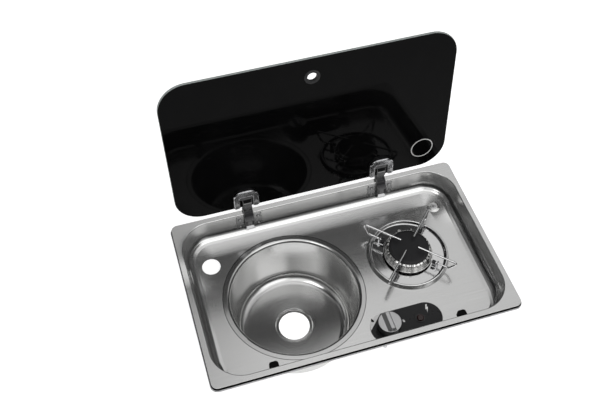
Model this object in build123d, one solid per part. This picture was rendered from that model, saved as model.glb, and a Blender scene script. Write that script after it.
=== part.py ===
from build123d import *
import os
from math import cos, radians, sin

os.makedirs("parts", exist_ok=True)

# Caravan hob and sink unit with a hinged black glass lid. Units are millimetres.
# Z = 0 is the worktop that the rim sits on, with X = Y = 0 at the middle of the rim's outline.
# +X runs to the right along the front edge, +Y to the back. The lid is built shut, then swung open.
# A depth is measured down from the top face of the rim.

# Rim, seal and recess
SHEET = 1.0
TAPE_HEIGHT = 3.0
TAPE_PROUD = 2.4
SEAL_HEIGHT = 6.0
SEAL_WIDTH = 8.0
SEAL_INSET = 0.4
RIM_TOP = TAPE_HEIGHT + SEAL_HEIGHT + SHEET
RIM_WIDTH = 590.0
RIM_LENGTH = 358.0
RIM_CORNER = 12.0
RIM_EDGE_ROUND = 2.0
RECESS_INSET = 11.0
RECESS_CORNER = 60.0
FLOOR_DEPTH = 45.0
FOOT_INSET = 16.0
FOOT_CORNER = 55.0
FLOOR_FILLET = 10.0
WALL_SLOPE = (FOOT_INSET - RECESS_INSET) / FLOOR_DEPTH
FLOOR_Z = RIM_TOP - FLOOR_DEPTH
UNDER_FLOOR = FLOOR_Z - SHEET
SIDE_WALL_X = RIM_WIDTH / 2 - RECESS_INSET
BACK_WALL_Y = RIM_LENGTH / 2 - RECESS_INSET
FRONT_WALL_Y = -BACK_WALL_Y
CUT_THROUGH = 300.0
TAP_X = -235.5
TAP_FROM_BACK = 73.0
TAP_Y = BACK_WALL_Y - TAP_FROM_BACK
TAP_HOLE_R = 18.0

# Bowl, seam welded into a stepped seat
BOWL_X = -97.0
BOWL_FROM_FRONT = 156.0
BOWL_Y = FRONT_WALL_Y + BOWL_FROM_FRONT
SEAT_R = 137.6
SEAT_STEP = 1.4
SEAT_LEDGE = 6.1
SEAT_HOLE_R = SEAT_R - SEAT_LEDGE
SEAT_GAP = 0.4
LIP_R = SEAT_R - SEAT_GAP
LIP_Z = FLOOR_Z - SEAT_STEP + SHEET
LIP_WIDTH = 12.6
MOUTH_R = LIP_R - LIP_WIDTH
MOUTH_ROUND = 6.0
BOWL_TAPER = 11.3
HEEL_R = MOUTH_R - BOWL_TAPER
HEEL_Z = -154.5
HEEL_FILLET = 22.0
WASTE_RIM_R = 38.5
WASTE_RIM_Z = -158.0
WASTE_STEP_R = 36.6
WASTE_Z = -160.2
WASTE_R = 31.5

# Burner
BURNER_X = 145.5
BURNER_FROM_FRONT = 179.5
BURNER_Y = FRONT_WALL_Y + BURNER_FROM_FRONT
BURNER_HOLE_R = 36.0
CUP_FOOT_R = 81.5
CUP_TOP_DEPTH = 36.0
CUP_TOP_Z = RIM_TOP - CUP_TOP_DEPTH
CUP_ROLL_ROUND = 1.5
CUP_ROLL_OUT_R = 78.6
CUP_ROLL_IN_R = 75.4
CUP_DISH_R = 73.2
DISH_DEPTH = 43.0
DISH_Z = RIM_TOP - DISH_DEPTH
CUP_HOLE_R = 31.0
GASKET_R = 66.0
HEAD_R = 44.0
HEAD_BORE_R = 26.0
HEAD_NECK_R = 30.0
HEAD_TOP_DEPTH = 38.0
HEAD_TOP_Z = RIM_TOP - HEAD_TOP_DEPTH
HEAD_ROUND = 4.0
HEAD_BOTTOM_Z = -82.0
VENTURI_Z = -62.0
VENTURI_R = 11.0
VENTURI_BORE_R = 7.5
VENTURI_REACH = 76.0
CROWN_R = 49.0
CROWN_FLANGE = 2.0
CROWN_SHOULDER_R = 43.6
CROWN_TOP_R = 40.6
CROWN_TOP_DEPTH = 21.8
CROWN_TOP_Z = RIM_TOP - CROWN_TOP_DEPTH
CROWN_BORE_R = 34.0
CROWN_SPIGOT = 4.0
PORTS = 36
PORT_WIDTH = 1.7
PORT_DEPTH = 1.9
CAP_R = 39.5
CAP_TOP_DEPTH = 17.5
CAP_TOP_Z = RIM_TOP - CAP_TOP_DEPTH
CAP_THICK = CAP_TOP_Z - CROWN_TOP_Z
CAP_ROUND = 1.2
CAP_SPIGOT = 2.2
INJECTOR_R = 5.0
INJECTOR_LENGTH = 12.0
HOLDER_SIZE = 24.0
HOLDER_LENGTH = 18.0
HOLDER_GAP = 6.0
PIPE_R = 3.0
PIPE_BEND_R = 14.0
PIPE_SWERVE = 14.0
PIPE_NUT_R = 6.5
PIPE_NUT_LENGTH = 9.0

# Wire pan supports, one on each diagonal of the burner
WIRE_R = 2.1
WIRE_TOP_DEPTH = 7.0
WIRE_TOP_Z = RIM_TOP - WIRE_TOP_DEPTH
WIRE_LOW_DEPTH = 32.5
WIRE_LOW_Z = RIM_TOP - WIRE_LOW_DEPTH
WIRE_TIP_R = 18.5
WIRE_BEND_R = 101.0
WIRE_HEEL_R = 86.0
WIRE_END_R = 52.5
WIRE_BEND_FILLET = 4.5
WIRE_HEEL_FILLET = 8.0
SLEEVE_IN_R = 51.0
SLEEVE_OUT_R = 58.5
SLEEVE_R = 3.7
STAND_R = 61.0
STAND_THICK = 2.5
STAND_WIDTH = 9.0
STAND_OVER_WIRE = 4.2
STAND_TOP_Z = WIRE_LOW_Z + STAND_OVER_WIRE
STAND_FOOT = 9.0
STAND_FOOT_THICK = 1.5
SUPPORT_ANGLES = {"right": -45.0, "back": 45.0, "left": 135.0, "front": 225.0}

# Spark electrode and flame sensor, behind the crown
PROBE_BOTTOM_Z = -60.0
ELECTRODE_ANGLE = 88.0
ELECTRODE_REACH = 53.5
ELECTRODE_R = 2.8
ELECTRODE_TOP_DEPTH = 37.0
ELECTRODE_TOP_Z = RIM_TOP - ELECTRODE_TOP_DEPTH
SPARK_PIN_R = 0.9
SPARK_TIP_DEPTH = 28.5
SPARK_TIP_Z = RIM_TOP - SPARK_TIP_DEPTH
SENSOR_ANGLE = 62.0
SENSOR_REACH = 52.5
SENSOR_R = 2.2
SENSOR_TOP_DEPTH = 31.0
SENSOR_TOP_Z = RIM_TOP - SENSOR_TOP_DEPTH
SENSOR_COLLAR_R = 4.0
SENSOR_COLLAR = 5.0

# Control plate, knob, valve and igniter
PANEL_FROM_FRONT = 37.0
PANEL_Y = FRONT_WALL_Y + PANEL_FROM_FRONT
PANEL_LEFT_X = 48.0
PANEL_RIGHT_X = 127.0
PANEL_R = 31.0
PANEL_THICK = 2.0
PANEL_CUT_FROM_FRONT = 15.4
PANEL_FRONT_Y = FRONT_WALL_Y + PANEL_CUT_FROM_FRONT
PANEL_TOP_Z = FLOOR_Z + PANEL_THICK
KNOB_X = 51.8
KNOB_R = 22.0
KNOB_TOP_DEPTH = 23.0
KNOB_TOP_Z = RIM_TOP - KNOB_TOP_DEPTH
KNOB_GAP = 3.6
KNOB_WALL = 2.4
KNOB_ROUND = 1.2
KNOB_HUB_R = 8.0
GRIP_TOP_DEPTH = 17.0
GRIP_TOP_Z = RIM_TOP - GRIP_TOP_DEPTH
GRIP_HALF = 3.3
GRIP_STEEP_FOOT = 7.0
GRIP_END = 4.5
GRIP_SLOPED_FOOT = 11.0
SPINDLE_R = 4.0
SPINDLE_FLAT = 2.6
SPINDLE_END_Z = -60.0
SPINDLE_SHOULDER_R = 6.0
COLLAR_TOP_Z = -44.0
COLLAR_THICK = 3.0
COLLAR_R = 7.9
RUNNING_GAP = 0.05
VALVE_NECK_R = 9.0
VALVE_NECK_TOP_Z = FLOOR_Z + SHEET
VALVE_TOP_Z = -41.0
VALVE_BOTTOM_Z = -72.0
VALVE_WIDTH = 30.0
VALVE_LENGTH = 26.0
VALVE_CHAMBER_R = 8.4
SPRING_SEAT_Z = -58.0
VALVE_WELL_R = 5.0
VALVE_WELL_Z = -66.0
VALVE_OUTLET_R = 6.0
VALVE_OUTLET = 8.0
BRACKET_THICK = 2.0
VALVE_BRACKET_LENGTH = 44.0
VALVE_SCREW_OFFSET = 14.5
VALVE_SCREW_R = 2.0
VALVE_SCREW_HEAD_R = 3.8
VALVE_SCREW_HEAD = 1.6
VALVE_SCREW_LENGTH = 8.0
SPRING_WIRE_R = 0.6
VALVE_SPRING_R = 6.6
VALVE_SPRING_TURNS = 4
INLET_R = 4.0
INLET_BORE_R = 3.0
INLET_LENGTH = 40.0
IGNITER_X = 115.0
IGNITER_R = 8.0
IGNITER_HEAD_R = 9.3
IGNITER_HEAD = 1.2
IGNITER_BORE_R = 7.0
IGNITER_BOTTOM_Z = -82.0
IGNITER_FLOOR_Z = -62.0
IGNITER_NUT_R = 12.5
IGNITER_NUT_THICK = 5.0
BUTTON_TOP_DEPTH = 38.0
BUTTON_TOP_Z = RIM_TOP - BUTTON_TOP_DEPTH
BUTTON_BOTTOM_Z = -47.0
BUTTON_ROUND = 2.5
BUTTON_GAP = 0.1
IGNITER_SPRING_R = 5.2
IGNITER_SPRING_TURNS = 4

# Cup washer and screw in the floor's back right corner
FIXING_FROM_SIDE = 44.5
FIXING_FROM_BACK = 62.0
FIXING_X = SIDE_WALL_X - FIXING_FROM_SIDE
FIXING_Y = BACK_WALL_Y - FIXING_FROM_BACK
FIXING_WASHER_R = 13.5
FIXING_WASHER_TOP_R = 8.5
FIXING_WASHER_HEIGHT = 2.8
FIXING_HEAD_R = 6.6
FIXING_HEAD = 2.6
FIXING_SHANK_R = 2.5
FIXING_SLOT = 1.2
FIXING_LENGTH = 14.0
FIXING_NUT_R = 4.6
FIXING_NUT_THICK = 4.0

# Lid, shut: its gaps to the recess, its underside and its pin
LID_SIDE_GAP = 6.0
LID_BACK_GAP = 3.8
LID_FRONT_GAP = 5.2
LID_WIDTH = 2 * (SIDE_WALL_X - LID_SIDE_GAP)
LID_LENGTH = 2 * BACK_WALL_Y - LID_BACK_GAP - LID_FRONT_GAP
LID_THICK = 5.0
LID_CORNER = RECESS_CORNER - LID_SIDE_GAP
LID_EDGE_CHAMFER = 0.9
LID_BACK_Y = BACK_WALL_Y - LID_BACK_GAP
LID_DEPTH = 4.0
LID_UNDER_Z = RIM_TOP - LID_DEPTH
LID_TOP_Z = LID_UNDER_Z + LID_THICK
LID_OPEN = 96.7
PIN_BEHIND = 10.2
PIN_Y = BACK_WALL_Y + PIN_BEHIND
PIN_RISE = 4.2
PIN_Z = RIM_TOP + PIN_RISE
FINGER_FROM_FRONT = 41.0
FINGER_REACH = LID_LENGTH - FINGER_FROM_FRONT
FINGER_HOLE_R = 12.0
GROMMET_BORE_R = 9.2
GROMMET_R = 15.0
GROMMET_PROUD = 1.2
BUFFER_X = 180.0
BUFFER_WIDTH = 17.0
BUFFER_LENGTH = 13.0
BUFFER_BACK_Y = FRONT_WALL_Y + BUFFER_LENGTH
BUFFER_GAP = 0.2
BUFFER_DEPTH = LID_DEPTH + BUFFER_GAP
BUFFER_HEIGHT = 9.0
BUFFER_ROUND = 5.0
BUFFER_STEM_R = 3.0
BUFFER_STEM_DEPTH = 9.0
BUFFER_STEM = 2.95
BUFFER_BARB_R = 4.4
BUFFER_BARB = 1.2

# Hinges: screw plate on the recess's back wall, channel arm, and strap and clamp on the lid
CLAMP_X = {"left": -141.0, "right": 140.5}
ARM_X = {"left": -138.8, "right": 142.5}
BRACKET_X = {"left": -138.8, "right": 141.0}
SIDES = (-1, 1)
WING_WIDTH = 52.0
WING_TOP_DEPTH = 5.0
WING_BOTTOM_DEPTH = 38.0
WING_RELIEF_DEPTH = 34.5
WING_RELIEF = 0.8
WING_THICK = 1.6
WING_CORNER = 3.0
PAD_WIDTH = 19.4
PAD_TOP_DEPTH = 10.0
PAD_OUT = 5.6
LEDGE_OUT = 14.4
LEDGE_Y = BACK_WALL_Y - LEDGE_OUT
LEDGE_DEPTH = 32.8
LEDGE_THICK = 2.0
LEDGE_BACK_DEPTH = 29.4
ARM_WIDTH = 19.4
CHEEK = 1.4
ARM_FRONT_LOW_OUT = 13.2
ARM_FRONT_LOW_Y = BACK_WALL_Y - ARM_FRONT_LOW_OUT
ARM_FRONT_LOW_DEPTH = 31.8
ARM_BACK_LOW_DEPTH = 28.6
ARM_FRONT_HIGH_OUT = 11.2
ARM_FRONT_HIGH_Y = BACK_WALL_Y - ARM_FRONT_HIGH_OUT
ARM_STEP_DEPTH = 9.4
ARM_GAP_OUT = 2.8
ARM_GAP_Y = BACK_WALL_Y - ARM_GAP_OUT
ARM_GAP_DEPTH = 7.8
ARM_LIFT = 0.35
ARM_OPENING_DEPTH = 12.5
TONGUE_WIDTH = 8.8
TONGUE_OUT = 10.0
TONGUE_Y = BACK_WALL_Y - TONGUE_OUT
TONGUE_BOTTOM_DEPTH = 27.0
WEB = 0.6
WEB_BEHIND = 5.0
WEB_END_Y = BACK_WALL_Y + WEB_BEHIND
WALL_GAP = 0.25
EYE_R = 3.9
EYE_CORNER_ANGLE = 30.0
STRAP_EYE_R = 3.2
PIN_R = 1.6
PIN_HEAD_R = 2.6
PIN_HEAD = 0.8
STOP_R = 1.0
STOP_Y = 0.6
STOP_RISE = 4.8
STOP_LUG = 2.0
SCREW_R = 1.9
SCREW_HEAD_R = 3.3
SCREW_HEAD = 1.8
SCREW_TAIL = 3.0
WING_SCREW_X = 19.0
WING_SCREW_DEPTHS = (12.5, 32.0)
STRAP_THICK = 2.0
STRAP_WIDTH = 18.5
STRAP_NEAR = 1.5
STRAP_TEE_NEAR = 21.0
STRAP_TEE_FAR = 29.5
STRAP_TEE_WIDTH = 31.0
STRAP_NOTCH_WIDTH = 19.5
STRAP_NOTCH_FOOT = 14.0
STRAP_NOTCH_FAR = 26.0
HOOK_HALF = 7.9
HOOK_IN_GAP = 3.25
HOOK_OUT_GAP = 1.9
HOOK_IN_Y = BACK_WALL_Y - HOOK_IN_GAP
HOOK_OUT_Y = BACK_WALL_Y - HOOK_OUT_GAP
HOOK_LOW = 1.55
HOOK_HIGH = 2.9
HOOK_SHELF = 0.6
CLAMP_WIDTH = 52.0
CLAMP_NEAR = 3.0
CLAMP_FAR = 48.0
CLAMP_MOUTH = 25.0
CLAMP_MOUTH_FAR = 31.0
CLAMP_HEIGHT = 7.0
CLAMP_PAD = 0.8
CLAMP_SHOULDER = 19.0
CLAMP_TOE = 5.0
CLAMP_MOUTH_CORNER = 3.0
CLAMP_ROUND = 4.0
CLAMP_SCREW_X = 19.0
CLAMP_SCREW_REACH = 18.0
CLAMP_SCREW_R = 2.0
CLAMP_SCREW_HEAD_R = 3.6
CLAMP_SCREW_HEAD = 1.4
GLASS_HOLE_R = 2.6
BACK_PLATE_NEAR = 5.0
BACK_PLATE_FAR = 40.0
BACK_PLATE_THICK = 2.4
BACK_PLATE_WIDTH = 46.0
BACK_PLATE_ROUND = 10.0


def save(node, *solids):
    """Write one node, made of one or more separate solids."""
    shape = solids[0] if len(solids) == 1 else Compound(children=list(solids))
    export_step(shape, f"parts/{node}.step")


def wall_y(depth):
    """Y of the inner face of the recess's back wall at a depth."""
    return BACK_WALL_Y - WALL_SLOPE * depth


def at(x, y, z=0.0):
    return Pos(x, y, z)


def rod(x, y, radius, low, high):
    """Upright cylinder between two heights."""
    return at(x, y, (low + high) / 2) * Cylinder(radius, high - low)


def pipe_ring(x, y, outer, inner, low, high):
    return rod(x, y, outer, low, high) - rod(x, y, inner, low - SHEET, high + SHEET)


def cross_rod(x, y, z, radius, length):
    """Cylinder along X about a middle point."""
    return at(x, y, z) * Rot(0, 90, 0) * Cylinder(radius, length)


def rounded_slab(width, length, corner, low, high, y=0.0):
    return extrude(at(0, y, low) * RectangleRounded(width, length, corner), high - low)


def outline(points, radii):
    """Face inside a closed run of points, each with its corner radius."""
    return make_face(FilletPolyline(*points, radius=radii, close=True))


def turned(points, radii):
    """Solid of revolution about Z from (radius, height) points."""
    return revolve(Plane.XZ * outline(points, radii), Axis.Z)


def turned_sheet(points, radii, thickness, side):
    """Spun sheet of one thickness beside a run of (radius, height) points."""
    line = FilletPolyline(*points, radius=radii)
    return revolve(Plane.XZ * make_face(offset(line, amount=thickness, side=side)), Axis.Z)


def side_slab(points, x, width):
    """Plate cut to a (y, z) outline, centred on x."""
    face = Plane.YZ * make_face(Polyline(*points, close=True))
    return at(x - width / 2, 0, 0) * extrude(face, width)


def hexagon(x, y, radius, low, high):
    return extrude(at(x, y, low) * RegularPolygon(radius, 6), high - low)


def coil(x, y, radius, low, high, turns):
    """Compression spring between two seats, with its wire inside them."""
    lift = high - low - 2 * SPRING_WIRE_R
    path = Helix(lift / turns, lift, radius)
    start = Plane(path @ 0, z_dir=path % 0)
    return at(x, y, low + SPRING_WIRE_R) * sweep(start * Circle(SPRING_WIRE_R), path)


def make_tray():
    flange = rounded_slab(RIM_WIDTH, RIM_LENGTH, RIM_CORNER, RIM_TOP - SHEET, RIM_TOP)

    def basin(top_z, bottom_z, grow, fillet_r):
        mouth = RectangleRounded(
            RIM_WIDTH - 2 * RECESS_INSET + 2 * grow,
            RIM_LENGTH - 2 * RECESS_INSET + 2 * grow,
            RECESS_CORNER + grow,
        )
        foot = RectangleRounded(
            RIM_WIDTH - 2 * FOOT_INSET + 2 * grow,
            RIM_LENGTH - 2 * FOOT_INSET + 2 * grow,
            FOOT_CORNER + grow,
        )
        body = loft([at(0, 0, top_z) * mouth, at(0, 0, bottom_z) * foot])
        return fillet(body.faces().sort_by(Axis.Z)[0].edges(), fillet_r)

    def inboard(edge):
        middle = edge.center()
        reach_x = RIM_WIDTH / 2 - SEAL_WIDTH
        reach_y = RIM_LENGTH / 2 - SEAL_WIDTH
        return abs(middle.X) < reach_x and abs(middle.Y) < reach_y

    under = RIM_TOP - SHEET
    tray = flange + basin(RIM_TOP, UNDER_FLOOR, SHEET, FLOOR_FILLET + SHEET)
    under_edges = tray.edges().filter_by_position(Axis.Z, under, under).filter_by(inboard)
    tray = fillet(under_edges, RIM_EDGE_ROUND - SHEET)
    tray -= basin(RIM_TOP, FLOOR_Z, 0.0, FLOOR_FILLET)
    mouth_edges = tray.edges().filter_by_position(Axis.Z, RIM_TOP, RIM_TOP).filter_by(inboard)
    tray = fillet(mouth_edges, RIM_EDGE_ROUND)
    seat_under = LIP_Z - 2 * SHEET
    tray += rod(BOWL_X, BOWL_Y, SEAT_R + SHEET, seat_under, FLOOR_Z - SHEET / 2)
    tray -= rod(BOWL_X, BOWL_Y, SEAT_R, LIP_Z - SHEET, FLOOR_Z + SHEET)
    tray -= rod(BOWL_X, BOWL_Y, SEAT_HOLE_R, seat_under - SHEET, FLOOR_Z + SHEET)
    holes = [
        (TAP_X, TAP_Y, TAP_HOLE_R),
        (BURNER_X, BURNER_Y, BURNER_HOLE_R),
        (KNOB_X, PANEL_Y, VALVE_NECK_R),
        (IGNITER_X, PANEL_Y, IGNITER_R),
        (FIXING_X, FIXING_Y, FIXING_SHANK_R),
        (KNOB_X - VALVE_SCREW_OFFSET, PANEL_Y, VALVE_SCREW_R),
        (KNOB_X + VALVE_SCREW_OFFSET, PANEL_Y, VALVE_SCREW_R),
        (*probe_place(ELECTRODE_ANGLE, ELECTRODE_REACH), ELECTRODE_R),
        (*probe_place(SENSOR_ANGLE, SENSOR_REACH), SENSOR_R),
    ]
    for x, y, radius in holes:
        tray -= rod(x, y, radius, UNDER_FLOOR - SHEET, FLOOR_Z + SHEET)
    for stem in buffer_stems(BUFFER_STEM_R):
        tray -= stem
    for screw in wing_screws("left") + wing_screws("right"):
        tray -= screw
    return tray


def make_seals():
    def ring(low, high, inset):
        outer = rounded_slab(
            RIM_WIDTH - 2 * inset, RIM_LENGTH - 2 * inset, RIM_CORNER - inset, low, high
        )
        inner = rounded_slab(
            RIM_WIDTH - 2 * (inset + SEAL_WIDTH),
            RIM_LENGTH - 2 * (inset + SEAL_WIDTH),
            RIM_CORNER - SEAL_WIDTH,
            low - SHEET,
            high + SHEET,
        )
        return outer - inner

    save("rim_seal", ring(TAPE_HEIGHT, TAPE_HEIGHT + SEAL_HEIGHT, SEAL_INSET))
    save("seat_tape", ring(0.0, TAPE_HEIGHT, -TAPE_PROUD))


def make_bowl():
    bowl = turned_sheet(
        [
            (LIP_R, LIP_Z),
            (MOUTH_R, LIP_Z),
            (HEEL_R, HEEL_Z),
            (WASTE_RIM_R, WASTE_RIM_Z),
            (WASTE_STEP_R, WASTE_Z),
            (WASTE_R, WASTE_Z),
        ],
        [MOUTH_ROUND, HEEL_FILLET, SHEET, SHEET],
        SHEET,
        Side.LEFT,
    )
    return at(BOWL_X, BOWL_Y) * bowl


def buffer_stems(radius):
    """Round stems that hold the lid buffers in the recess's front wall."""
    wall = -wall_y(BUFFER_STEM_DEPTH)
    length = BUFFER_STEM + SHEET
    return [
        at(side * BUFFER_X, wall - length / 2 + SHEET, RIM_TOP - BUFFER_STEM_DEPTH)
        * Rot(90, 0, 0)
        * Cylinder(radius, length)
        for side in SIDES
    ]


def make_buffers():
    top = BUFFER_DEPTH
    bottom = BUFFER_DEPTH + BUFFER_HEIGHT
    profile = [
        (BUFFER_BACK_Y, RIM_TOP - top),
        (-wall_y(top), RIM_TOP - top),
        (-wall_y(bottom), RIM_TOP - bottom),
        (BUFFER_BACK_Y, RIM_TOP - bottom),
    ]
    barb_y = -wall_y(BUFFER_STEM_DEPTH) - BUFFER_STEM
    solids = []
    for side, stem in zip(SIDES, buffer_stems(BUFFER_STEM_R)):
        block = side_slab(profile, side * BUFFER_X, BUFFER_WIDTH)
        uprights = block.edges().filter_by(Axis.Z).group_by(Axis.Y)[-1]
        block = fillet(uprights, BUFFER_ROUND)
        barb = (
            at(side * BUFFER_X, barb_y + BUFFER_BARB / 2, RIM_TOP - BUFFER_STEM_DEPTH)
            * Rot(90, 0, 0)
            * Cylinder(BUFFER_BARB_R, BUFFER_BARB)
        )
        solids.append(block + stem + barb)
    save("lid_buffers", *solids)


def probe_place(angle, reach):
    """Place beside the crown, by angle about the burner's axis and reach from it."""
    return (
        BURNER_X + reach * cos(radians(angle)),
        BURNER_Y + reach * sin(radians(angle)),
    )


def make_burner():
    place = at(BURNER_X, BURNER_Y)
    electrode = probe_place(ELECTRODE_ANGLE, ELECTRODE_REACH)
    sensor = probe_place(SENSOR_ANGLE, SENSOR_REACH)

    cup = turned_sheet(
        [
            (CUP_FOOT_R, FLOOR_Z + SHEET / 2),
            (CUP_ROLL_OUT_R, CUP_TOP_Z),
            (CUP_ROLL_IN_R, CUP_TOP_Z),
            (CUP_DISH_R, DISH_Z),
            (CUP_HOLE_R, DISH_Z),
        ],
        [CUP_ROLL_ROUND, CUP_ROLL_ROUND, 2 * SHEET],
        SHEET,
        Side.LEFT,
    )
    cup = place * cup
    gasket = pipe_ring(BURNER_X, BURNER_Y, GASKET_R, BURNER_HOLE_R, FLOOR_Z, DISH_Z - SHEET)
    for x, y, radius in ((*electrode, ELECTRODE_R), (*sensor, SENSOR_R)):
        cup -= rod(x, y, radius, DISH_Z - 2 * SHEET, DISH_Z + SHEET)
        gasket -= rod(x, y, radius, FLOOR_Z - SHEET, DISH_Z)
    save("burner_cup", cup)
    save("burner_gasket", gasket)

    head = turned(
        [
            (HEAD_BORE_R, HEAD_TOP_Z),
            (HEAD_R, HEAD_TOP_Z),
            (HEAD_R, DISH_Z),
            (HEAD_NECK_R, DISH_Z),
            (HEAD_NECK_R, HEAD_BOTTOM_Z),
            (0, HEAD_BOTTOM_Z),
            (0, HEAD_BOTTOM_Z + 2 * SHEET),
            (HEAD_BORE_R, HEAD_BOTTOM_Z + 2 * SHEET),
        ],
        [0, 0, 0, 0, HEAD_ROUND, 0, 0, 0],
    )
    head = place * head

    def along_y(radius, near, far):
        """Cylinder along -Y from the burner's axis, between two reaches."""
        middle = BURNER_Y - (near + far) / 2
        return at(BURNER_X, middle, VENTURI_Z) * Rot(90, 0, 0) * Cylinder(radius, far - near)

    head += along_y(VENTURI_R, HEAD_NECK_R - 2 * SHEET, VENTURI_REACH)
    head -= along_y(VENTURI_BORE_R, HEAD_BORE_R - 2 * SHEET, VENTURI_REACH + SHEET)
    save("burner_body", head)

    crown = turned(
        [
            (CROWN_BORE_R, CROWN_TOP_Z),
            (CROWN_TOP_R, CROWN_TOP_Z),
            (CROWN_SHOULDER_R, CROWN_TOP_Z - CROWN_FLANGE),
            (CROWN_R - SHEET, HEAD_TOP_Z + CROWN_FLANGE),
            (CROWN_R, HEAD_TOP_Z + CROWN_FLANGE),
            (CROWN_R, HEAD_TOP_Z),
            (HEAD_BORE_R - RUNNING_GAP, HEAD_TOP_Z),
            (HEAD_BORE_R - RUNNING_GAP, HEAD_TOP_Z - CROWN_SPIGOT),
            (HEAD_BORE_R - 2 * SHEET, HEAD_TOP_Z - CROWN_SPIGOT),
            (HEAD_BORE_R - 2 * SHEET, HEAD_TOP_Z + CROWN_FLANGE),
            (CROWN_BORE_R, HEAD_TOP_Z + 2 * CROWN_FLANGE),
        ],
        [0, SHEET / 2, SHEET, 0, 0, 0, 0, 0, 0, 0, 0],
    )
    port_length = CROWN_R - CROWN_BORE_R + 2 * SHEET
    port = at((CROWN_BORE_R + CROWN_R) / 2, 0, CROWN_TOP_Z - PORT_DEPTH / 2) * Box(
        port_length, PORT_WIDTH, PORT_DEPTH
    )
    crown -= [Rot(0, 0, step * 360 / PORTS) * port for step in range(PORTS)]
    save("burner_crown", place * crown)

    cap = turned(
        [
            (0, CAP_TOP_Z),
            (CAP_R - 4 * CAP_ROUND, CAP_TOP_Z),
            (CAP_R, CAP_TOP_Z - CAP_ROUND),
            (CAP_R, CAP_TOP_Z - CAP_THICK),
            (CROWN_BORE_R - 2 * RUNNING_GAP, CAP_TOP_Z - CAP_THICK),
            (CROWN_BORE_R - 2 * RUNNING_GAP, CAP_TOP_Z - CAP_THICK - CAP_SPIGOT),
            (0, CAP_TOP_Z - CAP_THICK - CAP_SPIGOT),
        ],
        [0, 4 * CAP_ROUND, CAP_ROUND / 2, 0, 0, 0, 0],
    )
    save("burner_cap", place * cap)

    holder_near = VENTURI_REACH + HOLDER_GAP
    holder_far = holder_near + HOLDER_LENGTH
    holder = at(BURNER_X, BURNER_Y - (holder_near + holder_far) / 2, VENTURI_Z) * Box(
        HOLDER_SIZE, HOLDER_LENGTH, HOLDER_SIZE
    )
    bridge_length = holder_far - HEAD_NECK_R + SHEET
    bridge_y = BURNER_Y - HEAD_NECK_R + SHEET - bridge_length / 2
    bridge = at(BURNER_X, bridge_y, VENTURI_Z - HOLDER_SIZE / 2 - SHEET) * Box(
        HOLDER_SIZE, bridge_length, 2 * SHEET
    )
    bridge -= rod(BURNER_X, BURNER_Y, HEAD_NECK_R, -CUT_THROUGH, 0)
    holder += bridge
    holder -= along_y(INJECTOR_R, holder_near - SHEET, holder_far + SHEET)
    save("injector_holder", holder)

    jet_near = holder_near - HOLDER_GAP / 2
    jet = along_y(INJECTOR_R, jet_near, jet_near + INJECTOR_LENGTH)
    jet -= along_y(SHEET / 2, jet_near - SHEET, jet_near + INJECTOR_LENGTH + SHEET)
    save("injector", jet)

    pipe_end = BURNER_Y - jet_near - INJECTOR_LENGTH
    pipe_start = KNOB_X + VALVE_WIDTH / 2
    swerve_x = pipe_start + VALVE_OUTLET + PIPE_NUT_LENGTH + PIPE_BEND_R / 2
    path = FilletPolyline(
        (pipe_start, PANEL_Y, VENTURI_Z),
        (swerve_x, PANEL_Y, VENTURI_Z),
        (swerve_x + PIPE_SWERVE, PANEL_Y + PIPE_SWERVE, VENTURI_Z),
        (BURNER_X, PANEL_Y + PIPE_SWERVE, VENTURI_Z),
        (BURNER_X, pipe_end, VENTURI_Z),
        radius=PIPE_BEND_R,
    )
    section = Plane(path @ 0, z_dir=path % 0)
    tube = sweep(section * Circle(PIPE_R), path)
    save("gas_pipe", tube - sweep(section * Circle(PIPE_R - SHEET), path))
    nut_x = pipe_start + VALVE_OUTLET + PIPE_NUT_LENGTH / 2
    valve_nut = at(nut_x, PANEL_Y, VENTURI_Z) * Rot(0, 90, 0) * hexagon(
        0, 0, PIPE_NUT_R, -PIPE_NUT_LENGTH / 2, PIPE_NUT_LENGTH / 2
    )
    valve_nut -= cross_rod(nut_x, PANEL_Y, VENTURI_Z, PIPE_R, 2 * PIPE_NUT_LENGTH)
    nut_y = BURNER_Y - holder_far - PIPE_NUT_LENGTH / 2
    holder_nut = at(BURNER_X, nut_y, VENTURI_Z) * Rot(90, 0, 0) * hexagon(
        0, 0, PIPE_NUT_R, -PIPE_NUT_LENGTH / 2, PIPE_NUT_LENGTH / 2
    )
    holder_nut -= along_y(PIPE_R, holder_far - SHEET, holder_far + 2 * PIPE_NUT_LENGTH)
    save("pipe_nuts", valve_nut, holder_nut)

    ceramic = rod(*electrode, ELECTRODE_R, PROBE_BOTTOM_Z, ELECTRODE_TOP_Z)
    ceramic -= rod(*electrode, SPARK_PIN_R, PROBE_BOTTOM_Z - SHEET, ELECTRODE_TOP_Z + SHEET)
    save("electrode_ceramic", ceramic)
    spark_tip = probe_place(ELECTRODE_ANGLE, CROWN_R - SHEET)
    spark_path = FilletPolyline(
        (*electrode, PROBE_BOTTOM_Z - 2 * SHEET),
        (*electrode, ELECTRODE_TOP_Z + 2 * SHEET),
        (*spark_tip, SPARK_TIP_Z),
        radius=SHEET,
    )
    spark_section = Plane(spark_path @ 0, z_dir=spark_path % 0) * Circle(SPARK_PIN_R)
    save("spark_pin", sweep(spark_section, spark_path))
    probe = rod(*sensor, SENSOR_R, PROBE_BOTTOM_Z, SENSOR_TOP_Z)
    probe += rod(
        *sensor, SENSOR_COLLAR_R, UNDER_FLOOR - SENSOR_COLLAR, UNDER_FLOOR
    )
    save("flame_sensor", fillet(probe.faces().sort_by(Axis.Z)[-1].edges(), SENSOR_R / 2))


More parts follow.
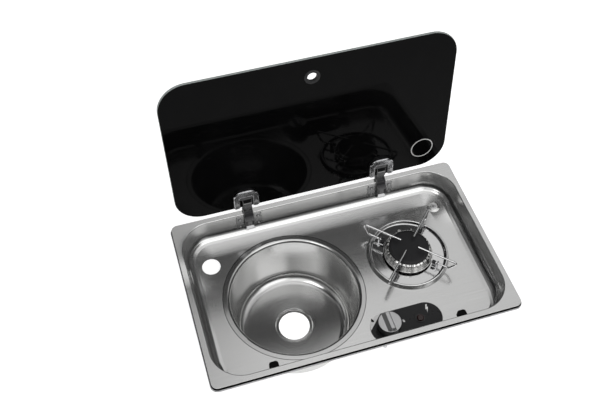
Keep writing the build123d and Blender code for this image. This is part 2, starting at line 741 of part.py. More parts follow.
def make_supports():
    sleeves = []
    stands = []
    for name, angle in SUPPORT_ANGLES.items():
        turn = at(BURNER_X, BURNER_Y) * Rot(0, 0, angle)
        path = FilletPolyline(
            (WIRE_TIP_R, 0, WIRE_TOP_Z),
            (WIRE_BEND_R, 0, WIRE_TOP_Z),
            (WIRE_HEEL_R, 0, WIRE_LOW_Z),
            (WIRE_END_R, 0, WIRE_LOW_Z),
            radius=[WIRE_BEND_FILLET, WIRE_HEEL_FILLET],
        )
        wire = sweep(Plane(path @ 0, z_dir=path % 0) * Circle(WIRE_R), path)
        save(f"pan_support_{name}", turn * wire)

        sleeve_length = SLEEVE_OUT_R - SLEEVE_IN_R
        sleeve = cross_rod(
            (SLEEVE_OUT_R + SLEEVE_IN_R) / 2, 0, WIRE_LOW_Z, SLEEVE_R, sleeve_length
        )
        sleeve = fillet(sleeve.edges().filter_by(GeomType.CIRCLE), SHEET)
        sleeve -= cross_rod(WIRE_END_R + sleeve_length, 0, WIRE_LOW_Z, WIRE_R, 2 * sleeve_length)
        sleeves.append(turn * sleeve)

        stand_height = STAND_TOP_Z - DISH_Z
        post = at(STAND_R + STAND_THICK / 2, 0, DISH_Z + stand_height / 2) * Box(
            STAND_THICK, STAND_WIDTH, stand_height
        )
        post = fillet(post.edges().filter_by(Axis.X).group_by(Axis.Z)[-1], STAND_WIDTH / 3)
        foot = at(STAND_R - STAND_FOOT / 2, 0, DISH_Z + STAND_FOOT_THICK / 2) * Box(
            STAND_FOOT, STAND_WIDTH, STAND_FOOT_THICK
        )
        stand = post + foot
        stand -= cross_rod(STAND_R, 0, WIRE_LOW_Z, WIRE_R, 4 * STAND_THICK)
        stands.append(turn * stand)
    save("support_sleeves", *sleeves)
    save("support_stands", *stands)


def make_controls():
    whole = at(0, 0, FLOOR_Z) * make_face(
        Polyline((PANEL_LEFT_X, PANEL_FRONT_Y), (PANEL_RIGHT_X, PANEL_FRONT_Y),
                 (PANEL_RIGHT_X, PANEL_Y + PANEL_R), (PANEL_LEFT_X, PANEL_Y + PANEL_R),
                 close=True)
    )
    panel = extrude(whole, PANEL_THICK)
    for end_x in (PANEL_LEFT_X, PANEL_RIGHT_X):
        panel += rod(end_x, PANEL_Y, PANEL_R, FLOOR_Z, PANEL_TOP_Z)
    apron = at(
        (PANEL_LEFT_X + PANEL_RIGHT_X) / 2, PANEL_FRONT_Y - PANEL_R, FLOOR_Z
    ) * Box(CUT_THROUGH, 2 * PANEL_R, CUT_THROUGH)
    panel -= apron
    panel -= rod(KNOB_X, PANEL_Y, VALVE_NECK_R, FLOOR_Z - SHEET, PANEL_TOP_Z + SHEET)
    panel -= rod(IGNITER_X, PANEL_Y, IGNITER_R, FLOOR_Z - SHEET, PANEL_TOP_Z + SHEET)
    screw_places = [KNOB_X - VALVE_SCREW_OFFSET, KNOB_X + VALVE_SCREW_OFFSET]
    for x in screw_places:
        panel -= rod(x, PANEL_Y, VALVE_SCREW_HEAD_R + SHEET, FLOOR_Z - SHEET, PANEL_TOP_Z + SHEET)
    save("control_plate", panel)

    knob_low = PANEL_TOP_Z + KNOB_GAP
    knob = turned(
        [
            (0, KNOB_TOP_Z),
            (KNOB_R, KNOB_TOP_Z),
            (KNOB_R, knob_low),
            (KNOB_R - KNOB_WALL, knob_low),
            (KNOB_R - KNOB_WALL, KNOB_TOP_Z - KNOB_WALL),
            (KNOB_HUB_R, KNOB_TOP_Z - KNOB_WALL),
            (KNOB_HUB_R, knob_low),
            (0, knob_low),
        ],
        [0, KNOB_ROUND, 0, 0, 0, 0, 0, 0],
    )
    grip_points = [
        (-GRIP_SLOPED_FOOT, KNOB_TOP_Z - SHEET),
        (-GRIP_HALF, GRIP_TOP_Z),
        (GRIP_HALF, GRIP_TOP_Z),
        (GRIP_STEEP_FOOT, KNOB_TOP_Z - SHEET),
    ]
    grip_face = Plane.XZ * outline(grip_points, [0, SHEET, SHEET, 0])
    grip = extrude(grip_face, KNOB_R, both=True)
    grip_height = GRIP_TOP_Z - KNOB_TOP_Z + SHEET
    grip &= at(0, 0, GRIP_TOP_Z - grip_height / 2) * Cone(
        KNOB_R - SHEET / 2, KNOB_R - GRIP_END, grip_height
    )
    knob += grip
    socket = rod(0, 0, SPINDLE_R, knob_low - SHEET, KNOB_TOP_Z)
    flat = at(0, SPINDLE_FLAT + SPINDLE_R, KNOB_TOP_Z) * Box(
        2 * SPINDLE_R, 2 * SPINDLE_R, CUT_THROUGH
    )
    knob -= socket - flat
    save("knob", at(KNOB_X, PANEL_Y) * knob)

    spindle_low = SPINDLE_END_Z
    spindle = rod(0, 0, SPINDLE_R, spindle_low, KNOB_TOP_Z)
    spindle -= flat & rod(0, 0, 2 * SPINDLE_R, knob_low - SHEET, CUT_THROUGH)
    spindle += rod(0, 0, SPINDLE_SHOULDER_R, COLLAR_TOP_Z, COLLAR_TOP_Z + SHEET)
    save("valve_spindle", at(KNOB_X, PANEL_Y) * spindle)

    collar_low = COLLAR_TOP_Z - COLLAR_THICK
    save("thrust_collar", pipe_ring(
        KNOB_X, PANEL_Y, COLLAR_R, SPINDLE_R + RUNNING_GAP, collar_low, COLLAR_TOP_Z
    ))
    save("valve_spring", coil(
        KNOB_X, PANEL_Y, VALVE_SPRING_R, SPRING_SEAT_Z, collar_low, VALVE_SPRING_TURNS
    ))

    valve_height = VALVE_TOP_Z - VALVE_BOTTOM_Z
    valve = at(KNOB_X, PANEL_Y, VALVE_BOTTOM_Z + valve_height / 2) * Box(
        VALVE_WIDTH, VALVE_LENGTH, valve_height
    )
    valve = fillet(valve.edges().filter_by(Axis.Z), 3 * SHEET)
    valve += rod(KNOB_X, PANEL_Y, VALVE_NECK_R, VALVE_TOP_Z, VALVE_NECK_TOP_Z)
    outlet_x = KNOB_X + VALVE_WIDTH / 2 + VALVE_OUTLET / 2
    valve += cross_rod(outlet_x, PANEL_Y, VENTURI_Z, VALVE_OUTLET_R, VALVE_OUTLET)
    valve -= cross_rod(outlet_x, PANEL_Y, VENTURI_Z, PIPE_R, VALVE_OUTLET)
    bore_r = SPINDLE_R + RUNNING_GAP
    valve -= rod(KNOB_X, PANEL_Y, bore_r, SPRING_SEAT_Z, VALVE_NECK_TOP_Z + SHEET)
    chamber_top = COLLAR_TOP_Z + SHEET + WALL_GAP
    valve -= rod(KNOB_X, PANEL_Y, VALVE_CHAMBER_R, SPRING_SEAT_Z, chamber_top)
    valve -= rod(KNOB_X, PANEL_Y, VALVE_WELL_R, VALVE_WELL_Z, SPRING_SEAT_Z + SHEET)
    save("gas_valve", valve)

    bracket = at(KNOB_X, PANEL_Y, UNDER_FLOOR - BRACKET_THICK / 2) * Box(
        VALVE_BRACKET_LENGTH, VALVE_LENGTH, BRACKET_THICK
    )
    bracket -= rod(KNOB_X, PANEL_Y, VALVE_NECK_R, VALVE_TOP_Z, FLOOR_Z)
    screws = []
    for x in screw_places:
        bracket -= rod(x, PANEL_Y, VALVE_SCREW_R, VALVE_TOP_Z, FLOOR_Z)
        shank = rod(x, PANEL_Y, VALVE_SCREW_R, FLOOR_Z - VALVE_SCREW_LENGTH, FLOOR_Z)
        head = rod(x, PANEL_Y, VALVE_SCREW_HEAD_R, FLOOR_Z, FLOOR_Z + VALVE_SCREW_HEAD)
        valve_clear = shank - rod(x, PANEL_Y, 2 * VALVE_SCREW_R, VALVE_BOTTOM_Z, VALVE_TOP_Z)
        screws.append(valve_clear + head)
    save("valve_bracket", bracket)
    save("valve_screws", *screws)
    save("gas_inlet", pipe_ring(
        KNOB_X, PANEL_Y, INLET_R, INLET_BORE_R, VALVE_BOTTOM_Z - INLET_LENGTH, VALVE_BOTTOM_Z
    ))

    body = rod(IGNITER_X, PANEL_Y, IGNITER_R, IGNITER_BOTTOM_Z, PANEL_TOP_Z)
    body += rod(IGNITER_X, PANEL_Y, IGNITER_HEAD_R, PANEL_TOP_Z, PANEL_TOP_Z + IGNITER_HEAD)
    head_top = PANEL_TOP_Z + IGNITER_HEAD
    body -= rod(IGNITER_X, PANEL_Y, IGNITER_BORE_R, IGNITER_FLOOR_Z, head_top + SHEET)
    save("igniter_body", body)
    igniter_nut = hexagon(
        IGNITER_X, PANEL_Y, IGNITER_NUT_R, UNDER_FLOOR - IGNITER_NUT_THICK, UNDER_FLOOR
    )
    igniter_nut -= rod(IGNITER_X, PANEL_Y, IGNITER_R, UNDER_FLOOR - FLOOR_DEPTH, FLOOR_Z)
    save("igniter_nut", igniter_nut)
    button = rod(IGNITER_X, PANEL_Y, IGNITER_BORE_R - BUTTON_GAP, BUTTON_BOTTOM_Z, BUTTON_TOP_Z)
    save("igniter_button", fillet(button.faces().sort_by(Axis.Z)[-1].edges(), BUTTON_ROUND))
    save("igniter_spring", coil(
        IGNITER_X, PANEL_Y, IGNITER_SPRING_R, IGNITER_FLOOR_Z, BUTTON_BOTTOM_Z,
        IGNITER_SPRING_TURNS,
    ))


def make_fixing():
    washer_top = FLOOR_Z + FIXING_WASHER_HEIGHT
    head_low = washer_top - FIXING_HEAD + SHEET / 2
    washer = turned(
        [
            (FIXING_SHANK_R, FLOOR_Z),
            (FIXING_WASHER_R, FLOOR_Z),
            (FIXING_WASHER_R, FLOOR_Z + SHEET / 2),
            (FIXING_WASHER_TOP_R, washer_top),
            (FIXING_HEAD_R + RUNNING_GAP, washer_top),
            (FIXING_SHANK_R, head_low),
        ],
        [0, 0, 0, SHEET, 0, 0],
    )
    save("fixing_washer", at(FIXING_X, FIXING_Y) * washer)
    screw = turned(
        [
            (0, washer_top + SHEET / 2),
            (FIXING_HEAD_R - SHEET, washer_top + SHEET / 2),
            (FIXING_HEAD_R, washer_top),
            (FIXING_SHANK_R, head_low),
            (FIXING_SHANK_R, FLOOR_Z - FIXING_LENGTH),
            (0, FLOOR_Z - FIXING_LENGTH),
        ],
        [0, SHEET, 0, 0, 0, 0],
    )
    for turn in (0, 90):
        slot = Box(FIXING_HEAD_R, FIXING_SLOT, FIXING_HEAD)
        screw -= at(0, 0, washer_top + SHEET / 2) * Rot(0, 0, turn) * slot
    save("fixing_screw", at(FIXING_X, FIXING_Y) * screw)
    nut = hexagon(
        FIXING_X, FIXING_Y, FIXING_NUT_R, UNDER_FLOOR - FIXING_NUT_THICK, UNDER_FLOOR
    )
    save("fixing_nut", nut - rod(FIXING_X, FIXING_Y, FIXING_SHANK_R, -CUT_THROUGH, FLOOR_Z))


def wing_screws(name):
    """Screws through a hinge bracket's wings, square to the recess's back wall."""
    screws = []
    tail_out = Vector(0, 1, WALL_SLOPE).normalized()
    for depth in WING_SCREW_DEPTHS:
        for wing in SIDES:
            x = BRACKET_X[name] + wing * WING_SCREW_X
            seat = Vector(x, wall_y(depth), RIM_TOP - depth) - tail_out * WING_THICK
            axis = Plane(seat, z_dir=-tail_out)
            shank = extrude(axis * Circle(SCREW_R), -(WING_THICK + SHEET + SCREW_TAIL))
            head = extrude(axis * Circle(SCREW_HEAD_R), SCREW_HEAD)
            head = fillet(head.edges().sort_by(Axis.Y)[0:1], SHEET)
            screws.append(shank + head)
    return screws


def step(depth, out):
    """(y, z) of a point at a depth, standing out from the recess's back wall."""
    return (wall_y(depth) - out, RIM_TOP - depth)


def make_bracket(name):
    wing = side_slab(
        [
            step(WING_TOP_DEPTH, 0),
            step(WING_RELIEF_DEPTH, 0),
            step(WING_BOTTOM_DEPTH, WING_RELIEF),
            step(WING_BOTTOM_DEPTH, WING_THICK),
            step(WING_TOP_DEPTH, WING_THICK),
        ],
        BRACKET_X[name],
        WING_WIDTH,
    )
    wing = fillet(wing.edges().filter_by(Axis.Y), WING_CORNER)
    wing -= at(ARM_X[name], LEDGE_Y, RIM_TOP - PAD_TOP_DEPTH + FLOOR_DEPTH / 2) * Box(
        ARM_WIDTH + SHEET, FLOOR_DEPTH, FLOOR_DEPTH
    )
    pad = side_slab(
        [
            step(PAD_TOP_DEPTH, WING_THICK),
            step(WING_BOTTOM_DEPTH, WING_THICK),
            step(WING_BOTTOM_DEPTH, WING_THICK + SHEET),
            (LEDGE_Y, RIM_TOP - LEDGE_DEPTH - LEDGE_THICK),
            (LEDGE_Y, RIM_TOP - LEDGE_DEPTH),
            step(LEDGE_BACK_DEPTH, PAD_OUT),
            step(PAD_TOP_DEPTH, PAD_OUT),
        ],
        ARM_X[name],
        PAD_WIDTH,
    )
    bracket = wing + pad
    for screw in wing_screws(name):
        bracket -= screw
    save(f"hinge_bracket_{name}", bracket)


def make_arm(name):
    middle = ARM_X[name]
    wall_corner = (wall_y(0) - WALL_GAP, RIM_TOP + ARM_LIFT)
    stop = (PIN_Y + STOP_Y, PIN_Z + STOP_RISE)
    corner = radians(EYE_CORNER_ANGLE)
    cheek_points = [
        (ARM_FRONT_LOW_Y, RIM_TOP - ARM_FRONT_LOW_DEPTH),
        (ARM_FRONT_HIGH_Y, RIM_TOP - ARM_STEP_DEPTH),
        (ARM_GAP_Y, RIM_TOP - ARM_GAP_DEPTH),
        (ARM_GAP_Y, RIM_TOP + HOOK_HIGH),
        (PIN_Y - EYE_R * sin(corner), PIN_Z + EYE_R * cos(corner)),
        (PIN_Y, RIM_TOP + ARM_LIFT),
        wall_corner,
        step(ARM_STEP_DEPTH, WALL_GAP),
        step(PAD_TOP_DEPTH, PAD_OUT),
        step(ARM_BACK_LOW_DEPTH, PAD_OUT),
    ]
    lug_points = [
        (PIN_Y - STOP_LUG, PIN_Z),
        (stop[0] - STOP_LUG, stop[1]),
        (stop[0] + STOP_LUG, stop[1]),
        (PIN_Y + EYE_R, PIN_Z),
    ]
    web_points = [
        (WEB_END_Y, RIM_TOP + ARM_LIFT),
        wall_corner,
        step(ARM_STEP_DEPTH, WALL_GAP),
        step(PAD_TOP_DEPTH, PAD_OUT),
        step(ARM_BACK_LOW_DEPTH, PAD_OUT),
        step(ARM_BACK_LOW_DEPTH, PAD_OUT + SHEET),
        step(ARM_STEP_DEPTH, PAD_OUT + SHEET),
        step(ARM_STEP_DEPTH - SHEET, WALL_GAP + WEB),
        (wall_corner[0] - WEB, wall_corner[1] + WEB),
        (WEB_END_Y, wall_corner[1] + WEB),
    ]
    hood_points = [
        (ARM_GAP_Y, RIM_TOP - ARM_GAP_DEPTH),
        (ARM_FRONT_HIGH_Y, RIM_TOP - ARM_STEP_DEPTH),
        (ARM_FRONT_HIGH_Y - WEB / 2, RIM_TOP - ARM_OPENING_DEPTH),
        (ARM_FRONT_HIGH_Y + WEB / 2, RIM_TOP - ARM_OPENING_DEPTH),
        (ARM_FRONT_HIGH_Y + WEB, RIM_TOP - ARM_STEP_DEPTH - WEB),
        (ARM_GAP_Y, RIM_TOP - ARM_GAP_DEPTH - WEB),
    ]
    tongue_points = [
        (TONGUE_Y, RIM_TOP - ARM_STEP_DEPTH - SHEET),
        (TONGUE_Y, RIM_TOP - TONGUE_BOTTOM_DEPTH),
        step(TONGUE_BOTTOM_DEPTH, PAD_OUT),
        step(PAD_TOP_DEPTH, PAD_OUT),
        step(ARM_STEP_DEPTH, PAD_OUT + SHEET),
    ]
    inner_width = ARM_WIDTH - 2 * CHEEK
    arm = side_slab(web_points, middle, inner_width)
    arm += side_slab(hood_points, middle, inner_width)
    arm += side_slab(tongue_points, middle, TONGUE_WIDTH)
    for side in SIDES:
        x = middle + side * (ARM_WIDTH - CHEEK) / 2
        arm += side_slab(cheek_points, x, CHEEK)
        arm += side_slab(lug_points, x, CHEEK)
        arm += cross_rod(x, PIN_Y, PIN_Z, EYE_R, CHEEK)
        arm += cross_rod(x, *stop, STOP_LUG, CHEEK)
    arm -= cross_rod(middle, PIN_Y, PIN_Z, PIN_R, 2 * ARM_WIDTH)
    arm -= cross_rod(middle, *stop, STOP_R, 2 * ARM_WIDTH)
    save(f"hinge_arm_{name}", arm)

    pin = cross_rod(middle, PIN_Y, PIN_Z, PIN_R, ARM_WIDTH)
    for side in SIDES:
        head_x = middle + side * (ARM_WIDTH + PIN_HEAD) / 2
        pin += cross_rod(head_x, PIN_Y, PIN_Z, PIN_HEAD_R, PIN_HEAD)
    save(f"hinge_pin_{name}", pin)
    return cross_rod(middle, *stop, STOP_R, ARM_WIDTH)


def reach(distance):
    """Y at a distance in from the shut lid's back edge."""
    return LID_BACK_Y - distance


def make_strap(name):
    """Flat tee under the glass, with a hook over the rim to the pin."""
    low = LID_UNDER_Z - STRAP_THICK
    left = ARM_X[name] - STRAP_WIDTH / 2
    right = ARM_X[name] + STRAP_WIDTH / 2
    head = CLAMP_X[name]
    outline_points = [
        (left, reach(STRAP_NEAR)),
        (right, reach(STRAP_NEAR)),
        (right, reach(STRAP_TEE_NEAR)),
        (head + STRAP_TEE_WIDTH / 2, reach(STRAP_TEE_NEAR)),
        (head + STRAP_TEE_WIDTH / 2, reach(STRAP_TEE_FAR)),
        (head + STRAP_NOTCH_WIDTH / 2, reach(STRAP_TEE_FAR)),
        (head + STRAP_NOTCH_FOOT / 2, reach(STRAP_NOTCH_FAR)),
        (head - STRAP_NOTCH_FOOT / 2, reach(STRAP_NOTCH_FAR)),
        (head - STRAP_NOTCH_WIDTH / 2, reach(STRAP_TEE_FAR)),
        (head - STRAP_TEE_WIDTH / 2, reach(STRAP_TEE_FAR)),
        (head - STRAP_TEE_WIDTH / 2, reach(STRAP_TEE_NEAR)),
        (left, reach(STRAP_TEE_NEAR)),
    ]
    hook_points = [
        (reach(STRAP_NEAR), low),
        (HOOK_OUT_Y, low),
        (HOOK_OUT_Y, RIM_TOP + HOOK_LOW),
        (PIN_Y, RIM_TOP + HOOK_LOW),
        (PIN_Y, RIM_TOP + HOOK_HIGH),
        (HOOK_IN_Y, RIM_TOP + HOOK_HIGH),
        (HOOK_IN_Y, LID_UNDER_Z - HOOK_SHELF),
        (reach(STRAP_NEAR), LID_UNDER_Z - HOOK_SHELF),
    ]
    strap = extrude(at(0, 0, low) * make_face(Polyline(*outline_points, close=True)), STRAP_THICK)
    strap += side_slab(hook_points, ARM_X[name], 2 * HOOK_HALF)
    strap += cross_rod(ARM_X[name], PIN_Y, PIN_Z, STRAP_EYE_R, 2 * HOOK_HALF)
    strap -= cross_rod(ARM_X[name], PIN_Y, PIN_Z, PIN_R + RUNNING_GAP, 2 * ARM_WIDTH)
    return strap


def make_clamp(name):
    """Horseshoe that traps the strap's head, its pad, its back plate and its two screws."""
    middle = CLAMP_X[name]
    half = CLAMP_WIDTH / 2
    mouth = CLAMP_MOUTH / 2
    face = outline(
        [
            (middle - half, reach(CLAMP_NEAR)),
            (middle - half, reach(CLAMP_FAR)),
            (middle + half, reach(CLAMP_FAR)),
            (middle + half, reach(CLAMP_NEAR)),
            (middle + mouth, reach(CLAMP_NEAR)),
            (middle + mouth, reach(CLAMP_MOUTH_FAR)),
            (middle - mouth, reach(CLAMP_MOUTH_FAR)),
            (middle - mouth, reach(CLAMP_NEAR)),
        ],
        [CLAMP_TOE, CLAMP_SHOULDER, CLAMP_SHOULDER, CLAMP_TOE, CLAMP_TOE]
        + [CLAMP_MOUTH_CORNER, CLAMP_MOUTH_CORNER, CLAMP_TOE],
    )
    pad_low = LID_UNDER_Z - CLAMP_PAD
    low = pad_low - CLAMP_HEIGHT
    clamp = extrude(at(0, 0, low) * face, CLAMP_HEIGHT)
    clamp = fillet(clamp.faces().sort_by(Axis.Z)[0].edges(), CLAMP_ROUND)
    pocket_y = reach((STRAP_TEE_NEAR + STRAP_TEE_FAR) / 2)
    pocket = at(middle, pocket_y, LID_UNDER_Z - STRAP_THICK / 2) * Box(
        STRAP_TEE_WIDTH, STRAP_TEE_FAR - STRAP_TEE_NEAR, STRAP_THICK
    )
    back_plate = extrude(
        at(middle, reach((BACK_PLATE_NEAR + BACK_PLATE_FAR) / 2), LID_TOP_Z)
        * RectangleRounded(
            BACK_PLATE_WIDTH, BACK_PLATE_FAR - BACK_PLATE_NEAR, BACK_PLATE_ROUND
        ),
        BACK_PLATE_THICK,
    )
    pieces = {
        "lid_clamp": clamp - pocket,
        "clamp_pad": extrude(at(0, 0, pad_low) * face, CLAMP_PAD) - pocket,
        "clamp_back": fillet(back_plate.faces().sort_by(Axis.Z)[-1].edges(), SHEET),
    }
    screws = []
    for side in SIDES:
        x = middle + side * CLAMP_SCREW_X
        y = reach(CLAMP_SCREW_REACH)
        shank = rod(x, y, CLAMP_SCREW_R, low, LID_TOP_Z + BACK_PLATE_THICK / 2)
        screws.append(shank + rod(x, y, CLAMP_SCREW_HEAD_R, low - CLAMP_SCREW_HEAD, low))
        for node in pieces:
            pieces[node] -= shank
    return pieces, screws


def swing(shape):
    """Move a piece of the shut lid to the open lid."""
    return shape.rotate(Axis((0, PIN_Y, PIN_Z), (1, 0, 0)), -LID_OPEN)


def make_lid():
    lid_y = LID_BACK_Y - LID_LENGTH / 2
    glass = rounded_slab(LID_WIDTH, LID_LENGTH, LID_CORNER, LID_UNDER_Z, LID_TOP_Z, lid_y)
    rims = glass.faces().sort_by(Axis.Z)
    glass = chamfer(rims[0].edges() + rims[-1].edges(), LID_EDGE_CHAMFER)
    finger_y = LID_BACK_Y - FINGER_REACH
    glass -= rod(0, finger_y, FINGER_HOLE_R, LID_UNDER_Z - SHEET, LID_TOP_Z + SHEET)
    grommet = turned(
        [
            (GROMMET_BORE_R, LID_UNDER_Z - GROMMET_PROUD),
            (GROMMET_R, LID_UNDER_Z - GROMMET_PROUD),
            (GROMMET_R, LID_UNDER_Z),
            (FINGER_HOLE_R, LID_UNDER_Z),
            (FINGER_HOLE_R, LID_TOP_Z),
            (GROMMET_R, LID_TOP_Z),
            (GROMMET_R, LID_TOP_Z + GROMMET_PROUD),
            (GROMMET_BORE_R, LID_TOP_Z + GROMMET_PROUD),
        ],
        [SHEET, SHEET, 0, 0, 0, 0, SHEET, SHEET],
    )
    save("finger_grommet", swing(at(0, finger_y) * grommet))

    all_screws = []
    for name, middle in CLAMP_X.items():
        save(f"lid_strap_{name}", swing(make_strap(name)))
        pieces, screws = make_clamp(name)
        for node, piece in pieces.items():
            save(f"{node}_{name}", swing(piece))
        all_screws += screws
        for side in SIDES:
            x = middle + side * CLAMP_SCREW_X
            glass -= rod(
                x, reach(CLAMP_SCREW_REACH), GLASS_HOLE_R, LID_UNDER_Z - SHEET, LID_TOP_Z + SHEET
            )
    save("clamp_screws", *[swing(screw) for screw in all_screws])
    save("lid_glass", swing(glass))


save("tray", make_tray())
save("sink_bowl", make_bowl())
make_seals()
make_buffers()
make_burner()
make_supports()
make_controls()
make_fixing()
save("hinge_screws", *wing_screws("left"), *wing_screws("right"))
for hinge in BRACKET_X:
    make_bracket(hinge)
save("hinge_stops", *[make_arm(hinge) for hinge in ARM_X])
make_lid()
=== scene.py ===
from math import cos, pi, radians, sin

import bmesh
import bpy
from mathutils import Matrix, Vector

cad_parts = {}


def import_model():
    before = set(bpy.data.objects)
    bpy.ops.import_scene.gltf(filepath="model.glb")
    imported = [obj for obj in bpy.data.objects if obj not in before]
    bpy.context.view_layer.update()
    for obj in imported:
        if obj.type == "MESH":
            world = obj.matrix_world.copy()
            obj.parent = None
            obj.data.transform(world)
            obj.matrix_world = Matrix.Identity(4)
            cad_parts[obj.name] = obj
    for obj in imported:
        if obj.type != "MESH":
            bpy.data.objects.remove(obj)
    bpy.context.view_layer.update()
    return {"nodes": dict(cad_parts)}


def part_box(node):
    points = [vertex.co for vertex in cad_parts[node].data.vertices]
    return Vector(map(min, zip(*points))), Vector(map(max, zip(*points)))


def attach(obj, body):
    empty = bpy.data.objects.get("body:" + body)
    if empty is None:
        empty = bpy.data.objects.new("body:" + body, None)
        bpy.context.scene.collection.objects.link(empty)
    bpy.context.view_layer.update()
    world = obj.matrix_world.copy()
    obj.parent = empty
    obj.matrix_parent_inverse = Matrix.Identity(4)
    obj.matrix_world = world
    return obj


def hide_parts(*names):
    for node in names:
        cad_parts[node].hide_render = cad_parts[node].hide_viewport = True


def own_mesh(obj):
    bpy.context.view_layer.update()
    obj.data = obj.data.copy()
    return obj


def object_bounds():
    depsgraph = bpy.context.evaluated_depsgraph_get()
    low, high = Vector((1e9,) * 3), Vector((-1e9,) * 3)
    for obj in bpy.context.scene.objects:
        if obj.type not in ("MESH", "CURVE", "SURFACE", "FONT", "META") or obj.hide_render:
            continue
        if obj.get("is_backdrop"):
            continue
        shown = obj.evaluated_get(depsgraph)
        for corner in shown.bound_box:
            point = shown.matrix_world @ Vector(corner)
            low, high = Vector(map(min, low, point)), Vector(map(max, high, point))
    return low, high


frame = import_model()
nodes = frame["nodes"]

# Sizes and places in metres: some are read from the frame, and the typed ones repeat the CAD source
FLOOR_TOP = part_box("control_plate")[0].z
PLATE_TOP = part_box("control_plate")[1].z
CORNER_X, CORNER_Y, FOOT_R = 0.224, 0.108, 0.055
WALL_LEAN = 5 / 45
BOWL = Vector((-0.097, -0.012, 0.0))
BURNER = Vector((0.1455, 0.0115, 0.0))
KNOB = Vector((0.0518, -0.131, 0.0))
FIXING = Vector((0.2395, 0.106, 0.0))
PIN = Vector((0.0, 0.1782, 0.0142))
LID_OPEN = radians(96.7)
LID_BACK_Y = 0.1642
LID_UNDER_Z = 0.006

# Chosen for the scene alone
STAGE_GAP = 0.004
STAND_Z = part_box("sink_bowl")[0].z - STAGE_GAP
PRINT_THICK = 0.00012
PRINT_SUNK = 0.00002
SKY_BASE = 0.04
# the Background node's own colour is 0.8, so this strength shows white behind the object
BACKDROP = 1.25


# ---------------------------------------------------------------- materials
class Graph:
    """A node tree, built with a few short words."""

    def __init__(self, owner):
        owner.use_nodes = True
        self.tree = owner.node_tree
        self.tree.nodes.clear()
        self._place = None

    def node(self, kind, **settings):
        made = self.tree.nodes.new("ShaderNode" + kind)
        for key, value in settings.items():
            setattr(made, key, value)
        return made

    def link(self, source, target, socket):
        output = source.outputs[0] if hasattr(source, "outputs") else source
        self.tree.links.new(output, target.inputs[socket])

    def feed(self, target, socket, value):
        """Link a node or an output, or set a plain value."""
        if hasattr(value, "outputs") or isinstance(value, bpy.types.NodeSocket):
            self.link(value, target, socket)
        else:
            target.inputs[socket].default_value = value

    def place(self):
        if self._place is None:
            self._place = self.node("TexCoord").outputs["Object"]
        return self._place

    def normal(self):
        return self.node("TexCoord").outputs["Normal"]

    def vector(self, operation, a, b=None):
        made = self.node("VectorMath", operation=operation)
        self.feed(made, 0, a)
        if b is not None:
            self.feed(made, 1, b)
        return made.outputs["Value"] if operation in ("DOT_PRODUCT", "LENGTH") else made

    def math(self, operation, a, b=None, clamp=False):
        made = self.node("Math", operation=operation, use_clamp=clamp)
        self.feed(made, 0, a)
        if b is not None:
            self.feed(made, 1, b)
        return made

    def split(self, vector):
        made = self.node("SeparateXYZ")
        self.link(vector, made, 0)
        return made.outputs

    def join(self, x, y, z):
        made = self.node("CombineXYZ")
        for index, value in enumerate((x, y, z)):
            self.feed(made, index, value)
        return made

    def noise(self, vector, scale=1.0, detail=4.0, rough=0.5):
        made = self.node("TexNoise")
        self.link(vector, made, "Vector")
        made.inputs["Scale"].default_value = scale
        made.inputs["Detail"].default_value = detail
        made.inputs["Roughness"].default_value = rough
        return made.outputs["Fac"]

    def remap(self, value, low, high, to_low=0.0, to_high=1.0, smooth=False):
        made = self.node("MapRange", clamp=True)
        made.interpolation_type = "SMOOTHSTEP" if smooth else "LINEAR"
        self.link(value, made, "Value")
        for socket, number in zip(("From Min", "From Max", "To Min", "To Max"),
                                  (low, high, to_low, to_high)):
            self.feed(made, socket, number)
        return made

    def mix(self, factor, a, b):
        """Mix of two colours."""
        made = self.node("Mix", data_type="RGBA")
        self.feed(made, 0, factor)
        for socket, colour in ((6, a), (7, b)):
            if isinstance(colour, (tuple, list)):
                colour = (*colour[:3], 1.0)
            self.feed(made, socket, colour)
        return made.outputs[2]

    def blend(self, factor, a, b):
        """Mix of two numbers."""
        made = self.node("Mix", data_type="FLOAT")
        self.feed(made, 0, factor)
        self.feed(made, 2, a)
        self.feed(made, 3, b)
        return made.outputs[0]


class Finish(Graph):
    """A node material with one shader."""

    def __init__(self, name):
        self.material = bpy.data.materials.new(name)
        super().__init__(self.material)
        self.shader = self.node("BsdfPrincipled")
        self.relief = None
        self.link(self.shader, self.node("OutputMaterial"), "Surface")

    def bump(self, height, strength, distance):
        """Relief on the shader's normal, laid over any earlier one."""
        made = self.node("Bump")
        made.inputs["Strength"].default_value = strength
        made.inputs["Distance"].default_value = distance
        self.link(height, made, "Height")
        if self.relief is not None:
            self.link(self.relief, made, "Normal")
        self.link(made, self.shader, "Normal")
        self.relief = made

    def set(self, **values):
        for key, value in values.items():
            socket = key.replace("_", " ").title().replace("Ior", "IOR")
            if isinstance(value, tuple):
                value = (*value[:3], 1.0)
            self.feed(self.shader, socket, value)


def polar(graph, centre):
    """Radius, angle and height about an upright axis."""
    x, y, z = graph.split(graph.vector("SUBTRACT", graph.place(), centre))
    flat = graph.join(x, y, 0.0)
    return graph.vector("LENGTH", flat), graph.math("ARCTAN2", y, x), z


